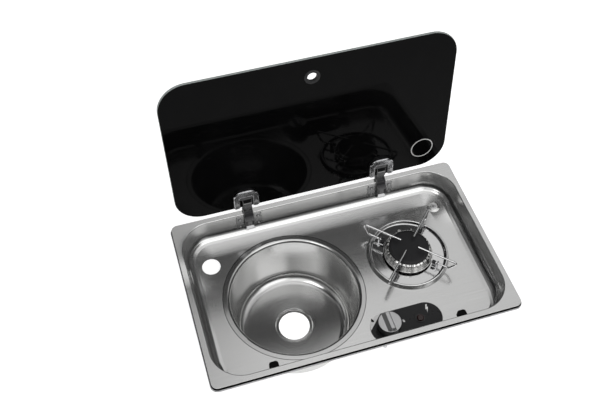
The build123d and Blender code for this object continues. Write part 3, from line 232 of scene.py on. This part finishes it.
def metal(name, colour, roughness, spread=0.06, grain=(7.0, 700.0, 700.0), turn=None,
          anisotropic=0.0, dirt_and_painted_shade=0.06, bump=0.06, warm=(0.0, 0.0, 0.0), coarse=14.0,
          metallic=1.0, crevice=0.0):
    """Bare metal: drawn or turned grain, cloudy wear and stains (painted dark reflections on the hinge
    clamps), soft tint and painted shade in crevices.
    """
    g = Finish(name)
    if turn is None:
        lay = g.vector("MULTIPLY", g.place(), grain)
    else:
        radius, angle, height = polar(g, turn)
        lay = g.join(
            g.math("MULTIPLY", radius, grain[1]),
            g.math("MULTIPLY", angle, grain[0] / 4),
            g.math("MULTIPLY", height, grain[2]),
        )
    fine = g.noise(lay, 1.0, 5.0, 0.62)
    cloud = g.noise(g.place(), coarse, 5.0, 0.6)
    wear = g.noise(g.place(), coarse * 6.5, 6.0, 0.65)
    tone = g.mix(g.remap(fine, 0.3, 0.72), [c * 0.9 for c in colour], colour)
    # on most metals this cloudy stain is dirt; on the hinge clamps, where it is strong, it is a painted
    # dark reflection
    stain_and_painted_shade = [max(0.0, c * (1.0 - dirt_and_painted_shade) - w) for c, w in zip(colour, warm)]
    tone = g.mix(g.remap(cloud, 0.45, 0.78, 0.0, 0.8), tone, stain_and_painted_shade)
    uneven = g.remap(fine, 0.25, 0.75, roughness - spread, roughness + spread)
    uneven = g.math("ADD", uneven, g.remap(cloud, 0.35, 0.75, -spread / 2, spread / 2))
    uneven = g.math("ADD", uneven, g.remap(wear, 0.5, 0.8, 0.0, spread / 2), clamp=True)
    # painted shade: the base colour goes dark where ambient occlusion finds a crevice or a contact
    if crevice:
        shut = g.node("AmbientOcclusion", samples=6, only_local=False)
        shut.inputs["Distance"].default_value = crevice
        painted_crevice_shade = g.remap(shut.outputs["AO"], 0.45, 0.85, 0.75, 0.0)
        tone = g.mix(painted_crevice_shade, tone, (0.05, 0.05, 0.05))
    g.set(base_color=tone, metallic=metallic, roughness=uneven)
    g.bump(fine, bump, 0.0004)
    if anisotropic:
        g.set(anisotropic=anisotropic)
        if turn is None:
            g.link(g.join(1.0, 0.0, 0.0), g.shader, "Tangent")
        else:
            outward = g.vector("SUBTRACT", g.place(), turn)
            around = g.vector("CROSS_PRODUCT", (0.0, 0.0, 1.0), outward)
            across = g.vector("CROSS_PRODUCT", g.normal(), around)
            g.link(g.vector("NORMALIZE", across), g.shader, "Tangent")
    return g


def coating(name, colour, roughness, grain=900.0, spread=0.08, bump=0.12, depth=0.0002,
            dust=0.0, specular=0.5, worn=None, coat=0.0):
    """Moulded plastic, rubber, enamel or paint, with its skin texture and faint dust."""
    g = Finish(name)
    skin = g.noise(g.place(), grain, 4.0, 0.6)
    cloud = g.noise(g.place(), 55.0, 5.0, 0.6)
    shade = g.mix(g.remap(cloud, 0.35, 0.7), colour, [c * 1.18 + 0.002 for c in colour])
    if dust:
        shade = g.mix(g.remap(skin, 0.55, 0.85, 0.0, dust), shade, (0.45, 0.45, 0.44))
    rough = g.remap(cloud, 0.3, 0.7, roughness - spread, roughness + spread)
    if worn is not None:
        edge = g.node("NewGeometry").outputs["Pointiness"]
        rub = g.math("MULTIPLY", g.remap(edge, 0.52, 0.6), g.remap(skin, 0.4, 0.7))
        shade = g.mix(rub, shade, worn)
    g.set(base_color=shade, roughness=rough)
    g.shader.inputs["Specular IOR Level"].default_value = specular
    if coat:
        g.shader.inputs["Coat Weight"].default_value = coat
        g.shader.inputs["Coat Roughness"].default_value = 0.08
    g.bump(skin, bump, depth)
    return g


def tray_material():
    """Brushed sheet, with a run-up of the floor in relief and a dark band in paint."""
    g = metal("tray_steel", (0.71, 0.71, 0.705), 0.2, 0.03, (5.0, 900.0, 900.0),
              dirt_and_painted_shade=0.04, bump=0.006, coarse=7.0, metallic=0.9, crevice=0.0016)
    x, y, z = g.split(g.place())

    # In the photograph the floor runs up softly to its back wall. The mesh is flat there, and this is
    # relief only.
    run_start, run_end, run_height, run_power = 0.050, 0.006, 0.0082, 1.3
    side = g.math("SUBTRACT", g.math("ABSOLUTE", x), CORNER_X)
    end = g.math("SUBTRACT", g.math("ABSOLUTE", y), CORNER_Y)
    round_part = g.vector("LENGTH", g.join(g.math("MAXIMUM", side, 0.0),
                                           g.math("MAXIMUM", end, 0.0), 0.0))
    straight = g.math("MINIMUM", g.math("MAXIMUM", side, end), 0.0)
    inward = g.math("SUBTRACT", FOOT_R, g.math("ADD", round_part, straight))
    rise = g.math("POWER", g.remap(inward, run_start, run_end), run_power)
    back = g.remap(y, 0.03, 0.12, 0.0, run_height, smooth=True)
    g.bump(g.math("MULTIPLY", rise, back), 1.0, 1.0)

    # In the photograph the drawn curve at the foot of the walls is dark, most likely by reflection.
    # This band of paint stands for it, and stays there under any light.
    strength, left_end = 0.82, 0.5
    band = g.math("MULTIPLY",
                  g.remap(z, FLOOR_TOP + 0.0035, FLOOR_TOP + 0.0065, smooth=True),
                  g.remap(z, FLOOR_TOP + 0.0095, FLOOR_TOP + 0.0145, strength, 0.0, smooth=True))
    band = g.math("MULTIPLY", band, g.remap(x, -0.272, -0.2, left_end, 1.0))
    plain = g.shader.inputs["Base Color"].links[0].from_socket
    g.set(base_color=g.mix(band, plain, (0.06, 0.06, 0.06)))
    return g


def bowl_material():
    return metal("bowl_steel", (0.60, 0.60, 0.595), 0.16, 0.012, (6.0, 900.0, 900.0), turn=BOWL,
                 anisotropic=0.7, dirt_and_painted_shade=0.03, bump=0.002, coarse=9.0, metallic=0.96)


def glass_material():
    """Black backed glass: dark faces, pale ground edge, wiped smears."""
    g = Finish("black_glass")
    face = Vector((0.0, -sin(LID_OPEN), -cos(LID_OPEN)))
    facing = g.math("ABSOLUTE", g.vector("DOT_PRODUCT", g.normal(), tuple(face)))
    is_face = g.remap(facing, 0.9, 0.96)
    smear = g.noise(g.vector("MULTIPLY", g.place(), (9.0, 22.0, 5.0)), 1.0, 6.0, 0.6)
    speck = g.noise(g.place(), 420.0, 3.0, 0.5)
    edge = g.mix(g.remap(speck, 0.3, 0.7), (0.30, 0.33, 0.32), (0.44, 0.47, 0.46))
    black = g.mix(g.remap(smear, 0.4, 0.75), (0.0022, 0.0022, 0.0024), (0.0045, 0.0045, 0.0047))
    g.set(base_color=g.mix(is_face, edge, black))
    wiped = g.remap(smear, 0.35, 0.8, 0.02, 0.09)
    g.set(roughness=g.blend(is_face, 0.22, wiped))
    # real glass has about 0.5: this keeps the lid's mirror image faint, as in the photograph
    g.shader.inputs["Specular IOR Level"].default_value = 0.045
    g.bump(speck, 0.01, 0.0001)
    return g


def knob_material():
    """Silvered top inside a black skirt."""
    g = Finish("knob_silver")
    radius, _, height = polar(g, KNOB)
    skirt = g.remap(radius, 0.02165, 0.02185)
    below = g.remap(height, -0.0149, -0.0145, 1.0, 0.0)
    black = g.math("MAXIMUM", skirt, below)
    spun = g.noise(g.join(g.math("MULTIPLY", radius, 1500.0), 0.0, 0.0), 1.0, 3.0)
    grain = g.noise(g.place(), 1400.0, 3.0)
    silver = g.mix(g.remap(spun, 0.3, 0.7), (0.50, 0.50, 0.505), (0.60, 0.60, 0.60))
    g.set(base_color=g.mix(black, silver, (0.02, 0.02, 0.021)))
    g.set(metallic=g.blend(black, 0.85, 0.0))
    g.set(roughness=g.blend(black, g.remap(grain, 0.3, 0.7, 0.3, 0.4), 0.42))
    g.bump(grain, 0.06, 0.0001)
    return g


def plate_material():
    """Satin black film, cut off along a slanted line at its left end."""
    g = Finish("panel_black")
    x, y, _ = g.split(g.place())
    # the film ends where y - x passes this value, on a line at 45 degrees through (16.3, -130) mm
    film_end = -0.1463
    beyond = g.math("SUBTRACT", g.math("SUBTRACT", y, x), film_end)
    bare = g.remap(beyond, 0.0, 0.0002)
    lay = g.vector("MULTIPLY", g.place(), (6.0, 900.0, 900.0))
    fine = g.noise(lay, 1.0, 4.0)
    cloud = g.noise(g.place(), 60.0, 5.0, 0.6)
    ink = g.mix(g.remap(cloud, 0.3, 0.7), (0.011, 0.011, 0.012), (0.017, 0.017, 0.018))
    steel = g.mix(g.remap(fine, 0.3, 0.7), (0.56, 0.56, 0.56), (0.66, 0.66, 0.655))
    g.set(base_color=g.mix(bare, ink, steel))
    g.set(metallic=bare)
    g.set(roughness=g.blend(bare, g.remap(cloud, 0.3, 0.7, 0.24, 0.36), 0.33))
    g.shader.inputs["Specular IOR Level"].default_value = 0.25
    g.bump(fine, 0.03, 0.0002)
    return g


def crown_material():
    """Cast crown, with painted reflections as streaks, a painted shadow at its foot and painted shade
    as dark marks round its shoulder.
    """
    g = metal("crown_alloy", (0.78, 0.775, 0.76), 0.26, 0.05, (5.0, 1300.0, 1300.0), turn=BURNER,
              anisotropic=0.8, dirt_and_painted_shade=0.1, bump=0.01, warm=(0.0, 0.004, 0.012), coarse=60.0)
    _, angle, height = polar(g, BURNER)
    low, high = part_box("burner_crown")
    # painted reflections: bright and dark streaks round the flank stand in for the facets' reflections
    painted_reflection_streak = g.noise(g.join(g.math("MULTIPLY", angle, 7.0), 0.0, 0.0), 1.0, 4.0, 0.6)
    tone = g.mix(g.remap(painted_reflection_streak, 0.38, 0.56), (0.42, 0.42, 0.415), (0.92, 0.915, 0.90))
    # these marks are painted shade of flame ports, and don't follow the 36 ports that are cut into the
    # mesh
    marks = 30.0
    painted_port_shade = g.remap(g.math("SINE", g.math("MULTIPLY", angle, marks)), 0.8, 0.95)
    upper = g.remap(height, high.z - 0.0045, high.z - 0.0035)
    tone = g.mix(g.math("MULTIPLY", painted_port_shade, upper), tone, (0.04, 0.04, 0.04))
    # painted shadow: the foot of the crown is dark, for the shade in the gap beneath it
    foot = g.remap(height, low.z + 0.0045, low.z + 0.006, 1.0, 0.0)
    g.set(base_color=g.mix(foot, tone, (0.05, 0.05, 0.05)))
    return g


finishes = {
    "tray_steel": tray_material(),
    "bowl_steel": bowl_material(),
    "mirror_steel": metal("mirror_steel", (0.74, 0.74, 0.74), 0.1, 0.04, (4.0, 1200.0, 1200.0),
                          turn=BURNER, dirt_and_painted_shade=0.05, bump=0.015, coarse=40.0),
    "black_rubber": coating("black_rubber", (0.016, 0.016, 0.017), 0.62, 700.0, 0.08, 0.2, dust=0.04),
    "grey_foam": coating("grey_foam", (0.6, 0.6, 0.61), 0.9, 1500.0, 0.05, 0.6, 0.0004),
    "cast_alloy": metal("cast_alloy", (0.5, 0.5, 0.505), 0.48, 0.08, (500.0, 500.0, 500.0),
                        dirt_and_painted_shade=0.2, bump=0.25, coarse=50.0),
    "crown_alloy": crown_material(),
    "cap_enamel": coating("cap_enamel", (0.011, 0.011, 0.012), 0.5, 1100.0, 0.08, 0.16, dust=0.03,
                          specular=0.35),
    "plated_steel": metal("plated_steel", (0.56, 0.56, 0.565), 0.34, 0.08, (200.0, 200.0, 200.0),
                          dirt_and_painted_shade=0.12, bump=0.08, coarse=80.0, crevice=0.003),
    "brass": metal("brass", (0.66, 0.47, 0.2), 0.3, 0.08, (300.0, 900.0, 900.0), dirt_and_painted_shade=0.25,
                   bump=0.06, warm=(0.0, 0.02, 0.03), coarse=70.0),
    "pipe_alloy": metal("pipe_alloy", (0.62, 0.62, 0.63), 0.36, 0.07, (60.0, 800.0, 800.0),
                        dirt_and_painted_shade=0.1, bump=0.06, coarse=60.0),
    "white_ceramic": coating("white_ceramic", (0.78, 0.77, 0.74), 0.22, 1600.0, 0.06, 0.02, coat=0.6),
    "wire_steel": metal("wire_steel", (0.5, 0.5, 0.5), 0.32, 0.07, (300.0, 300.0, 300.0),
                        bump=0.05, coarse=90.0),
    "support_wire": metal("support_wire", (0.74, 0.74, 0.745), 0.09, 0.04, (260.0, 260.0, 260.0),
                          dirt_and_painted_shade=0.1, bump=0.02, warm=(0.0, 0.004, 0.01), coarse=55.0),
    "chrome": metal("chrome", (0.72, 0.72, 0.73), 0.09, 0.04, (160.0, 160.0, 160.0), dirt_and_painted_shade=0.06,
                    bump=0.02, coarse=60.0),
    "hinge_grey": coating("hinge_grey", (0.05, 0.05, 0.053), 0.32, 1200.0, 0.07, 0.08,
                          worn=(0.3, 0.3, 0.3), specular=0.6),
    "panel_black": plate_material(),
    "knob_plastic": knob_material(),
    "black_plastic": coating("black_plastic", (0.012, 0.012, 0.013), 0.4, 1400.0, 0.07, 0.08),
    "button_plastic": coating("button_plastic", (0.016, 0.002, 0.002), 0.3, 1500.0, 0.05, 0.04),
    "cup_washer": metal("cup_washer", (0.7, 0.7, 0.69), 0.26, 0.06, (5.0, 1100.0, 1100.0),
                        turn=FIXING, bump=0.05, coarse=80.0, crevice=0.003),
    "black_glass": glass_material(),
}

# Pieces that look unlike the others of their slot
stand_steel = metal("stand_steel", (0.24, 0.24, 0.245), 0.2, 0.05, (160.0, 160.0, 160.0),
                    bump=0.02, coarse=60.0)
bracket_steel = metal("bracket_steel", (0.46, 0.46, 0.465), 0.28, 0.05, (200.0, 200.0, 200.0),
                      bump=0.03, coarse=70.0, crevice=0.003)
# its strong dark cloudy patches are painted reflections on the chrome, and its crevices take painted
# shade
clamp_chrome = metal("clamp_chrome", (0.42, 0.42, 0.43), 0.12, 0.05, (160.0, 160.0, 160.0),
                     dirt_and_painted_shade=0.85, bump=0.05, coarse=170.0, crevice=0.003)
seal_black = coating("seal_black", (0.004, 0.004, 0.004), 0.7, 700.0, 0.05, 0.1, specular=0.06)
special = {
    "rim_seal": seal_black,
    "lid_buffers": seal_black,
    "support_stands": stand_steel,
    "hinge_bracket_left": bracket_steel,
    "hinge_bracket_right": bracket_steel,
    "lid_clamp_left": clamp_chrome,
    "lid_clamp_right": clamp_chrome,
}

for name, cad in nodes.items():
    for used in cad.material_slots:
        slot_name = used.material.name.split(".")[0]
        if slot_name not in finishes:
            raise SystemExit(f"{name} has an unknown slot {slot_name}")
        used.material = special.get(name, finishes[slot_name]).material


# ---------------------------------------------------------------- pressed curve of the sheet
def cove():
    """Wide pressed curve from the recess's walls to its floor.

    Along the front it narrows, and sinks behind the tray's own fillet.
    """
    wide, narrow = 0.018, 0.009
    steps, turns = 24, 40
    wall_dive, floor_dive = 0.00025, 0.00015
    hidden = 0.0026
    fade_start, fade_length = 0.25, 0.7
    stations = []
    for side_x, side_y, start in ((-1, -1, 270), (-1, 1, 180), (1, 1, 90), (1, -1, 0)):
        for i in range(turns + 1):
            angle = radians(start - 90 * i / turns)
            stations.append((side_x * CORNER_X, side_y * CORNER_Y, angle))
    rows = []
    for step in range(steps + 2):
        row = []
        for x, y, angle in stations:
            front = max(0.0, min(1.0, ((-sin(angle) if y < 0 else 0.0) - fade_start) / fade_length))
            radius = narrow + (wide - narrow) * (1 - front * front * (3 - 2 * front))
            turn = step / steps * pi / 2
            inward = radius * (1 - sin(turn)) - wall_dive
            rise = radius * (1 - cos(turn)) - floor_dive
            if step > steps:
                # the last row closes the piece, out of sight behind the tray's own fillet
                inward, rise = hidden, hidden
            reach = FOOT_R - inward + WALL_LEAN * rise
            row.append((x + reach * cos(angle), y + reach * sin(angle), FLOOR_TOP + rise))
        rows.append(row)
    count = len(stations)
    faces = []
    for r in range(len(rows)):
        after = (r + 1) % len(rows)
        for i in range(count):
            j = (i + 1) % count
            faces.append((r * count + i, after * count + i, after * count + j, r * count + j))
    mesh = bpy.data.meshes.new("tray_cove")
    mesh.from_pydata([point for row in rows for point in row], [], faces)
    for index, polygon in enumerate(mesh.polygons):
        polygon.use_smooth = index // count < steps
    work = bmesh.new()
    work.from_mesh(mesh)
    bmesh.ops.recalc_face_normals(work, faces=work.faces)
    for edge in work.edges:
        edge.smooth = all(face.smooth for face in edge.link_faces)
    work.to_mesh(mesh)
    work.free()
    mesh.materials.append(finishes["tray_steel"].material)
    piece = bpy.data.objects.new("tray_cove", mesh)
    bpy.context.scene.collection.objects.link(piece)
    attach(piece, "unit")


cove()


# ---------------------------------------------------------------- springs
def coil(node):
    """A wire spring, drawn as a copy of its node's mesh on the unit, with the node itself hidden."""
    piece = bpy.data.objects.new(node + "_coil", nodes[node].data.copy())
    bpy.context.scene.collection.objects.link(piece)
    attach(piece, "unit")
    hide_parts(node)
    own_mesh(piece)


coil("valve_spring")
coil("igniter_spring")


# ---------------------------------------------------------------- prints and thin flat pieces
def plate(name, outline, low, thickness, finish, body, holes=(), matrix=None):
    """Thin flat piece: an outline, with any holes, raised by its thickness."""
    curve = bpy.data.curves.new(name + "_outline", "CURVE")
    curve.dimensions = "2D"
    curve.fill_mode = "BOTH"
    curve.extrude = thickness / 2
    for loop in (outline, *holes):
        spline = curve.splines.new("POLY")
        spline.points.add(len(loop) - 1)
        for point, (x, y) in zip(spline.points, loop):
            point.co = (x, y, 0.0, 1.0)
        spline.use_cyclic_u = True
    holder = bpy.data.objects.new(name + "_outline", curve)
    bpy.context.scene.collection.objects.link(holder)
    bpy.context.view_layer.update()
    mesh = bpy.data.meshes.new_from_object(holder)
    bpy.data.objects.remove(holder)
    mesh.transform(Matrix.Translation((0.0, 0.0, low + thickness / 2)))
    if matrix is not None:
        mesh.transform(matrix)
    mesh.materials.clear()
    mesh.materials.append(finish.material)
    piece = bpy.data.objects.new(name, mesh)
    bpy.context.scene.collection.objects.link(piece)
    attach(piece, body)


def circle(x, y, radius, count=96):
    return [(x + radius * cos(2 * pi * i / count), y + radius * sin(2 * pi * i / count))
            for i in range(count)]


def rim_line(half_x, half_y, radius, turns=12):
    """Rounded rectangle about the middle of the unit."""
    points = []
    for side_x, side_y, start in ((1, 1, 0), (-1, 1, 90), (-1, -1, 180), (1, -1, 270)):
        for i in range(turns + 1):
            angle = radians(start + 90 * i / turns)
            points.append((side_x * (half_x - radius) + radius * cos(angle),
                           side_y * (half_y - radius) + radius * sin(angle)))
    return points


def flame(x, y, height, lean=0.18, count=48):
    """Teardrop flame outline."""
    points = []
    for i in range(count):
        t = 2 * pi * i / count
        wide = sin(t) * (sin(t / 2) ** 1.6) * height * 0.42
        up = -cos(t) * height / 2
        points.append((x + wide + lean * (up + height / 2) ** 2 / height, y - up))
    return points


def strap_outline(middle, back_half, back, front_half, front):
    """Four-sided outline, by half its width and its distance in from the lid's back edge."""
    return [(middle - back_half, LID_BACK_Y - back), (middle + back_half, LID_BACK_Y - back),
            (middle + front_half, LID_BACK_Y - front), (middle - front_half, LID_BACK_Y - front)]


white_ink = coating("white_ink", (0.75, 0.75, 0.74), 0.45, 2500.0, 0.05, 0.05)
# black ink for print, and on the hinge straps painted shade of their slots
black_ink_and_painted_shade = coating("black_ink_and_painted_shade", (0.004, 0.004, 0.004), 0.5, 2500.0, 0.05, 0.05, specular=0.08)
film = metal("film_silver", (0.72, 0.72, 0.715), 0.4, 0.04, (6.0, 900.0, 900.0), bump=0.03)

# The spark's outline is drawn on a grid of BOLT_UNIT
BOLT = [(0.9, 9.8), (4.0, 9.8), (1.6, 3.0), (4.2, 3.0), (-2.2, -9.8), (-0.4, -1.2), (-3.4, -1.2)]
BOLT_UNIT = 0.0009
BOLT_X, BOLT_Y = 0.1344, -0.1147
bolt = [(BOLT_X + x * BOLT_UNIT, BOLT_Y + y * BOLT_UNIT) for x, y in BOLT]
plate("mark_bolt", bolt, PLATE_TOP - PRINT_SUNK, PRINT_THICK, white_ink, "unit")
plate("mark_flame_small", flame(0.0825, -0.1266, 0.0068), PLATE_TOP - PRINT_SUNK, PRINT_THICK,
      white_ink, "unit")

# Thin dark ring over the joint between bowl and floor
SEAM_OUT_R, SEAM_IN_R, SEAM_THICK, SEAM_POINTS = 0.1383, 0.13755, 0.00010, 240
seam = metal("seam_dark", (0.03, 0.03, 0.03), 0.5, 0.05, (5.0, 900.0, 900.0), turn=BOWL, bump=0.02)
plate("bowl_seam", circle(BOWL.x, BOWL.y, SEAM_OUT_R, SEAM_POINTS), FLOOR_TOP - PRINT_SUNK,
      SEAM_THICK, seam, "unit",
      holes=[circle(BOWL.x, BOWL.y, SEAM_IN_R, SEAM_POINTS)])

# Outward lip of the rubber seal, lying on the tape
LIP_LOW, LIP_THICK = 0.00298, 0.0009
plate("rim_seal_lip", rim_line(0.2962, 0.1802, 0.0132), LIP_LOW, LIP_THICK, seal_black,
      "unit", holes=[rim_line(0.29445, 0.17845, 0.0115)])

# On the lid, drawn with the lid shut and then swung open with it
swing = Matrix.Translation(PIN) @ Matrix.Rotation(-LID_OPEN, 4, "X") @ Matrix.Translation(-PIN)
RING_X, RING_Y, RING_OUT_R, RING_IN_R = 0.228, LID_BACK_Y - 0.049, 0.0235, 0.0214
plate("lid_ring", circle(RING_X, RING_Y, RING_OUT_R), LID_UNDER_Z + PRINT_SUNK - PRINT_THICK,
      PRINT_THICK, white_ink, "lid", holes=[circle(RING_X, RING_Y, RING_IN_R)],
      matrix=swing)

# Each strap's slot is a flat black sheet: painted shade where the slot opens
SLOT_LOW, SLOT_THICK = 0.00394, 0.00008
STRAP_LIP_LOW, STRAP_LIP_THICK = 0.00360, 0.0005
for side in ("left", "right"):
    low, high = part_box("hinge_arm_" + side)
    middle = (low.x + high.x) / 2
    plate("strap_slot_" + side, strap_outline(middle, 0.0071, 0.0105, 0.0088, 0.0205), SLOT_LOW,
          SLOT_THICK, black_ink_and_painted_shade, "lid", matrix=swing)
    plate("strap_lip_" + side, strap_outline(middle, 0.0078, 0.0088, 0.0082, 0.0102), STRAP_LIP_LOW,
          STRAP_LIP_THICK, film, "lid", matrix=swing)

plate("mark_flame_large", flame(0.0258, -0.1093, 0.0085), PLATE_TOP - PRINT_SUNK, PRINT_THICK,
      black_ink_and_painted_shade, "unit")


# ---------------------------------------------------------------- stage and light
def floor():
    """White ground, lit from itself where the camera or a mirror sees it."""
    half, glow = 8, 0.75
    g = Finish("floor_white")
    fine = g.noise(g.place(), 30.0, 4.0)
    g.set(base_color=g.mix(g.remap(fine, 0.3, 0.7), (0.80, 0.80, 0.80), (0.82, 0.82, 0.82)))
    g.set(roughness=0.9)
    g.shader.inputs["Specular IOR Level"].default_value = 0.0
    rays = g.node("LightPath").outputs
    seen = g.math("MAXIMUM", rays["Is Camera Ray"], rays["Is Glossy Ray"])
    seen = g.math("MAXIMUM", seen, rays["Is Transmission Ray"])
    g.shader.inputs["Emission Color"].default_value = (1.0, 1.0, 1.0, 1.0)
    g.feed(g.shader, "Emission Strength", g.math("MULTIPLY", seen, glow))
    mesh = bpy.data.meshes.new("studio_floor")
    corners = ((-half, -half), (half, -half), (half, half), (-half, half))
    mesh.from_pydata([(x, y, STAND_Z) for x, y in corners], [], [(0, 1, 2, 3)])
    mesh.materials.append(g.material)
    ground = bpy.data.objects.new("studio_floor", mesh)
    bpy.context.scene.collection.objects.link(ground)
    ground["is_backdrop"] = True


# Soft patches of the sky, tuned to the photograph's reflections. Each has its direction, the cosines of
# the angle to it at which the patch begins and is full, and the brightness that it adds there.
SKY_PATCHES = (
    ((0.228, -0.56, 0.795), 0.86, 0.97, 0.6),
    ((0.30, -0.74, 0.60), 0.90, 0.97, 1.1),
    ((0.05, 0.15, 0.985), 0.93, 0.99, 0.5),
    ((0.58, -0.10, 0.81), 0.93, 0.98, 0.6),
    ((-0.38, -0.45, 0.81), 0.93, 0.98, 0.7),
    ((-0.365, 0.47, 0.80), 0.86, 0.95, -0.7),
    ((0.53, 0.04, 0.847), 0.94, 0.985, -0.6),
    ((-0.52, -0.06, 0.85), 0.92, 0.975, -0.75),
)


def world():
    """Sky that is dim near the horizon and bright above, with bright and dim patches."""
    sky = bpy.data.worlds.new("studio")
    bpy.context.scene.world = sky
    g = Graph(sky)
    where = g.node("TexCoord").outputs["Generated"]
    level = g.remap(g.split(where)["Z"], 0.42, 0.78, SKY_BASE, 0.95, smooth=True)
    for aim, begins, full, gain in SKY_PATCHES:
        lobe = g.remap(g.vector("DOT_PRODUCT", where, aim), begins, full, 0.0, gain, smooth=True)
        level = g.math("ADD", level, lobe)
    back = g.node("Background")
    seen = g.math("MULTIPLY", g.node("LightPath").outputs["Is Camera Ray"], BACKDROP)
    g.link(g.math("MAXIMUM", g.math("MAXIMUM", level, SKY_BASE), seen), back, "Strength")
    g.link(back, g.node("OutputWorld"), "Surface")


def softbox(name, place, aim, width, height, power):
    lamp = bpy.data.lights.new(name, "AREA")
    lamp.shape = "RECTANGLE"
    lamp.size = width
    lamp.size_y = height
    lamp.energy = power
    made = bpy.data.objects.new(name, lamp)
    made.location = place
    made.rotation_euler = (Vector(aim) - Vector(place)).to_track_quat("-Z", "Y").to_euler()
    bpy.context.scene.collection.objects.link(made)


floor()
world()
softbox("key", (-1.1, -0.5, 1.9), (0, 0, 0), 0.8, 0.8, 5.0)

# Camera, solved from the photograph
PHOTO_WIDTH_PX, FOCAL_PX, SENSOR_MM = 600, 827.175, 36.0
lens = bpy.data.cameras.new("camera")
lens.sensor_width = SENSOR_MM
lens.lens = FOCAL_PX / PHOTO_WIDTH_PX * SENSOR_MM
lens.clip_end = 30.0
camera = bpy.data.objects.new("camera", lens)
camera.location = (-0.33669, -0.79144, 1.34307)
camera.rotation_euler = (radians(37.12341), radians(-0.48584), radians(-17.01760))
bpy.context.scene.collection.objects.link(camera)
bpy.context.scene.camera = camera
bpy.context.scene.view_settings.view_transform = "Standard"

low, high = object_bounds()
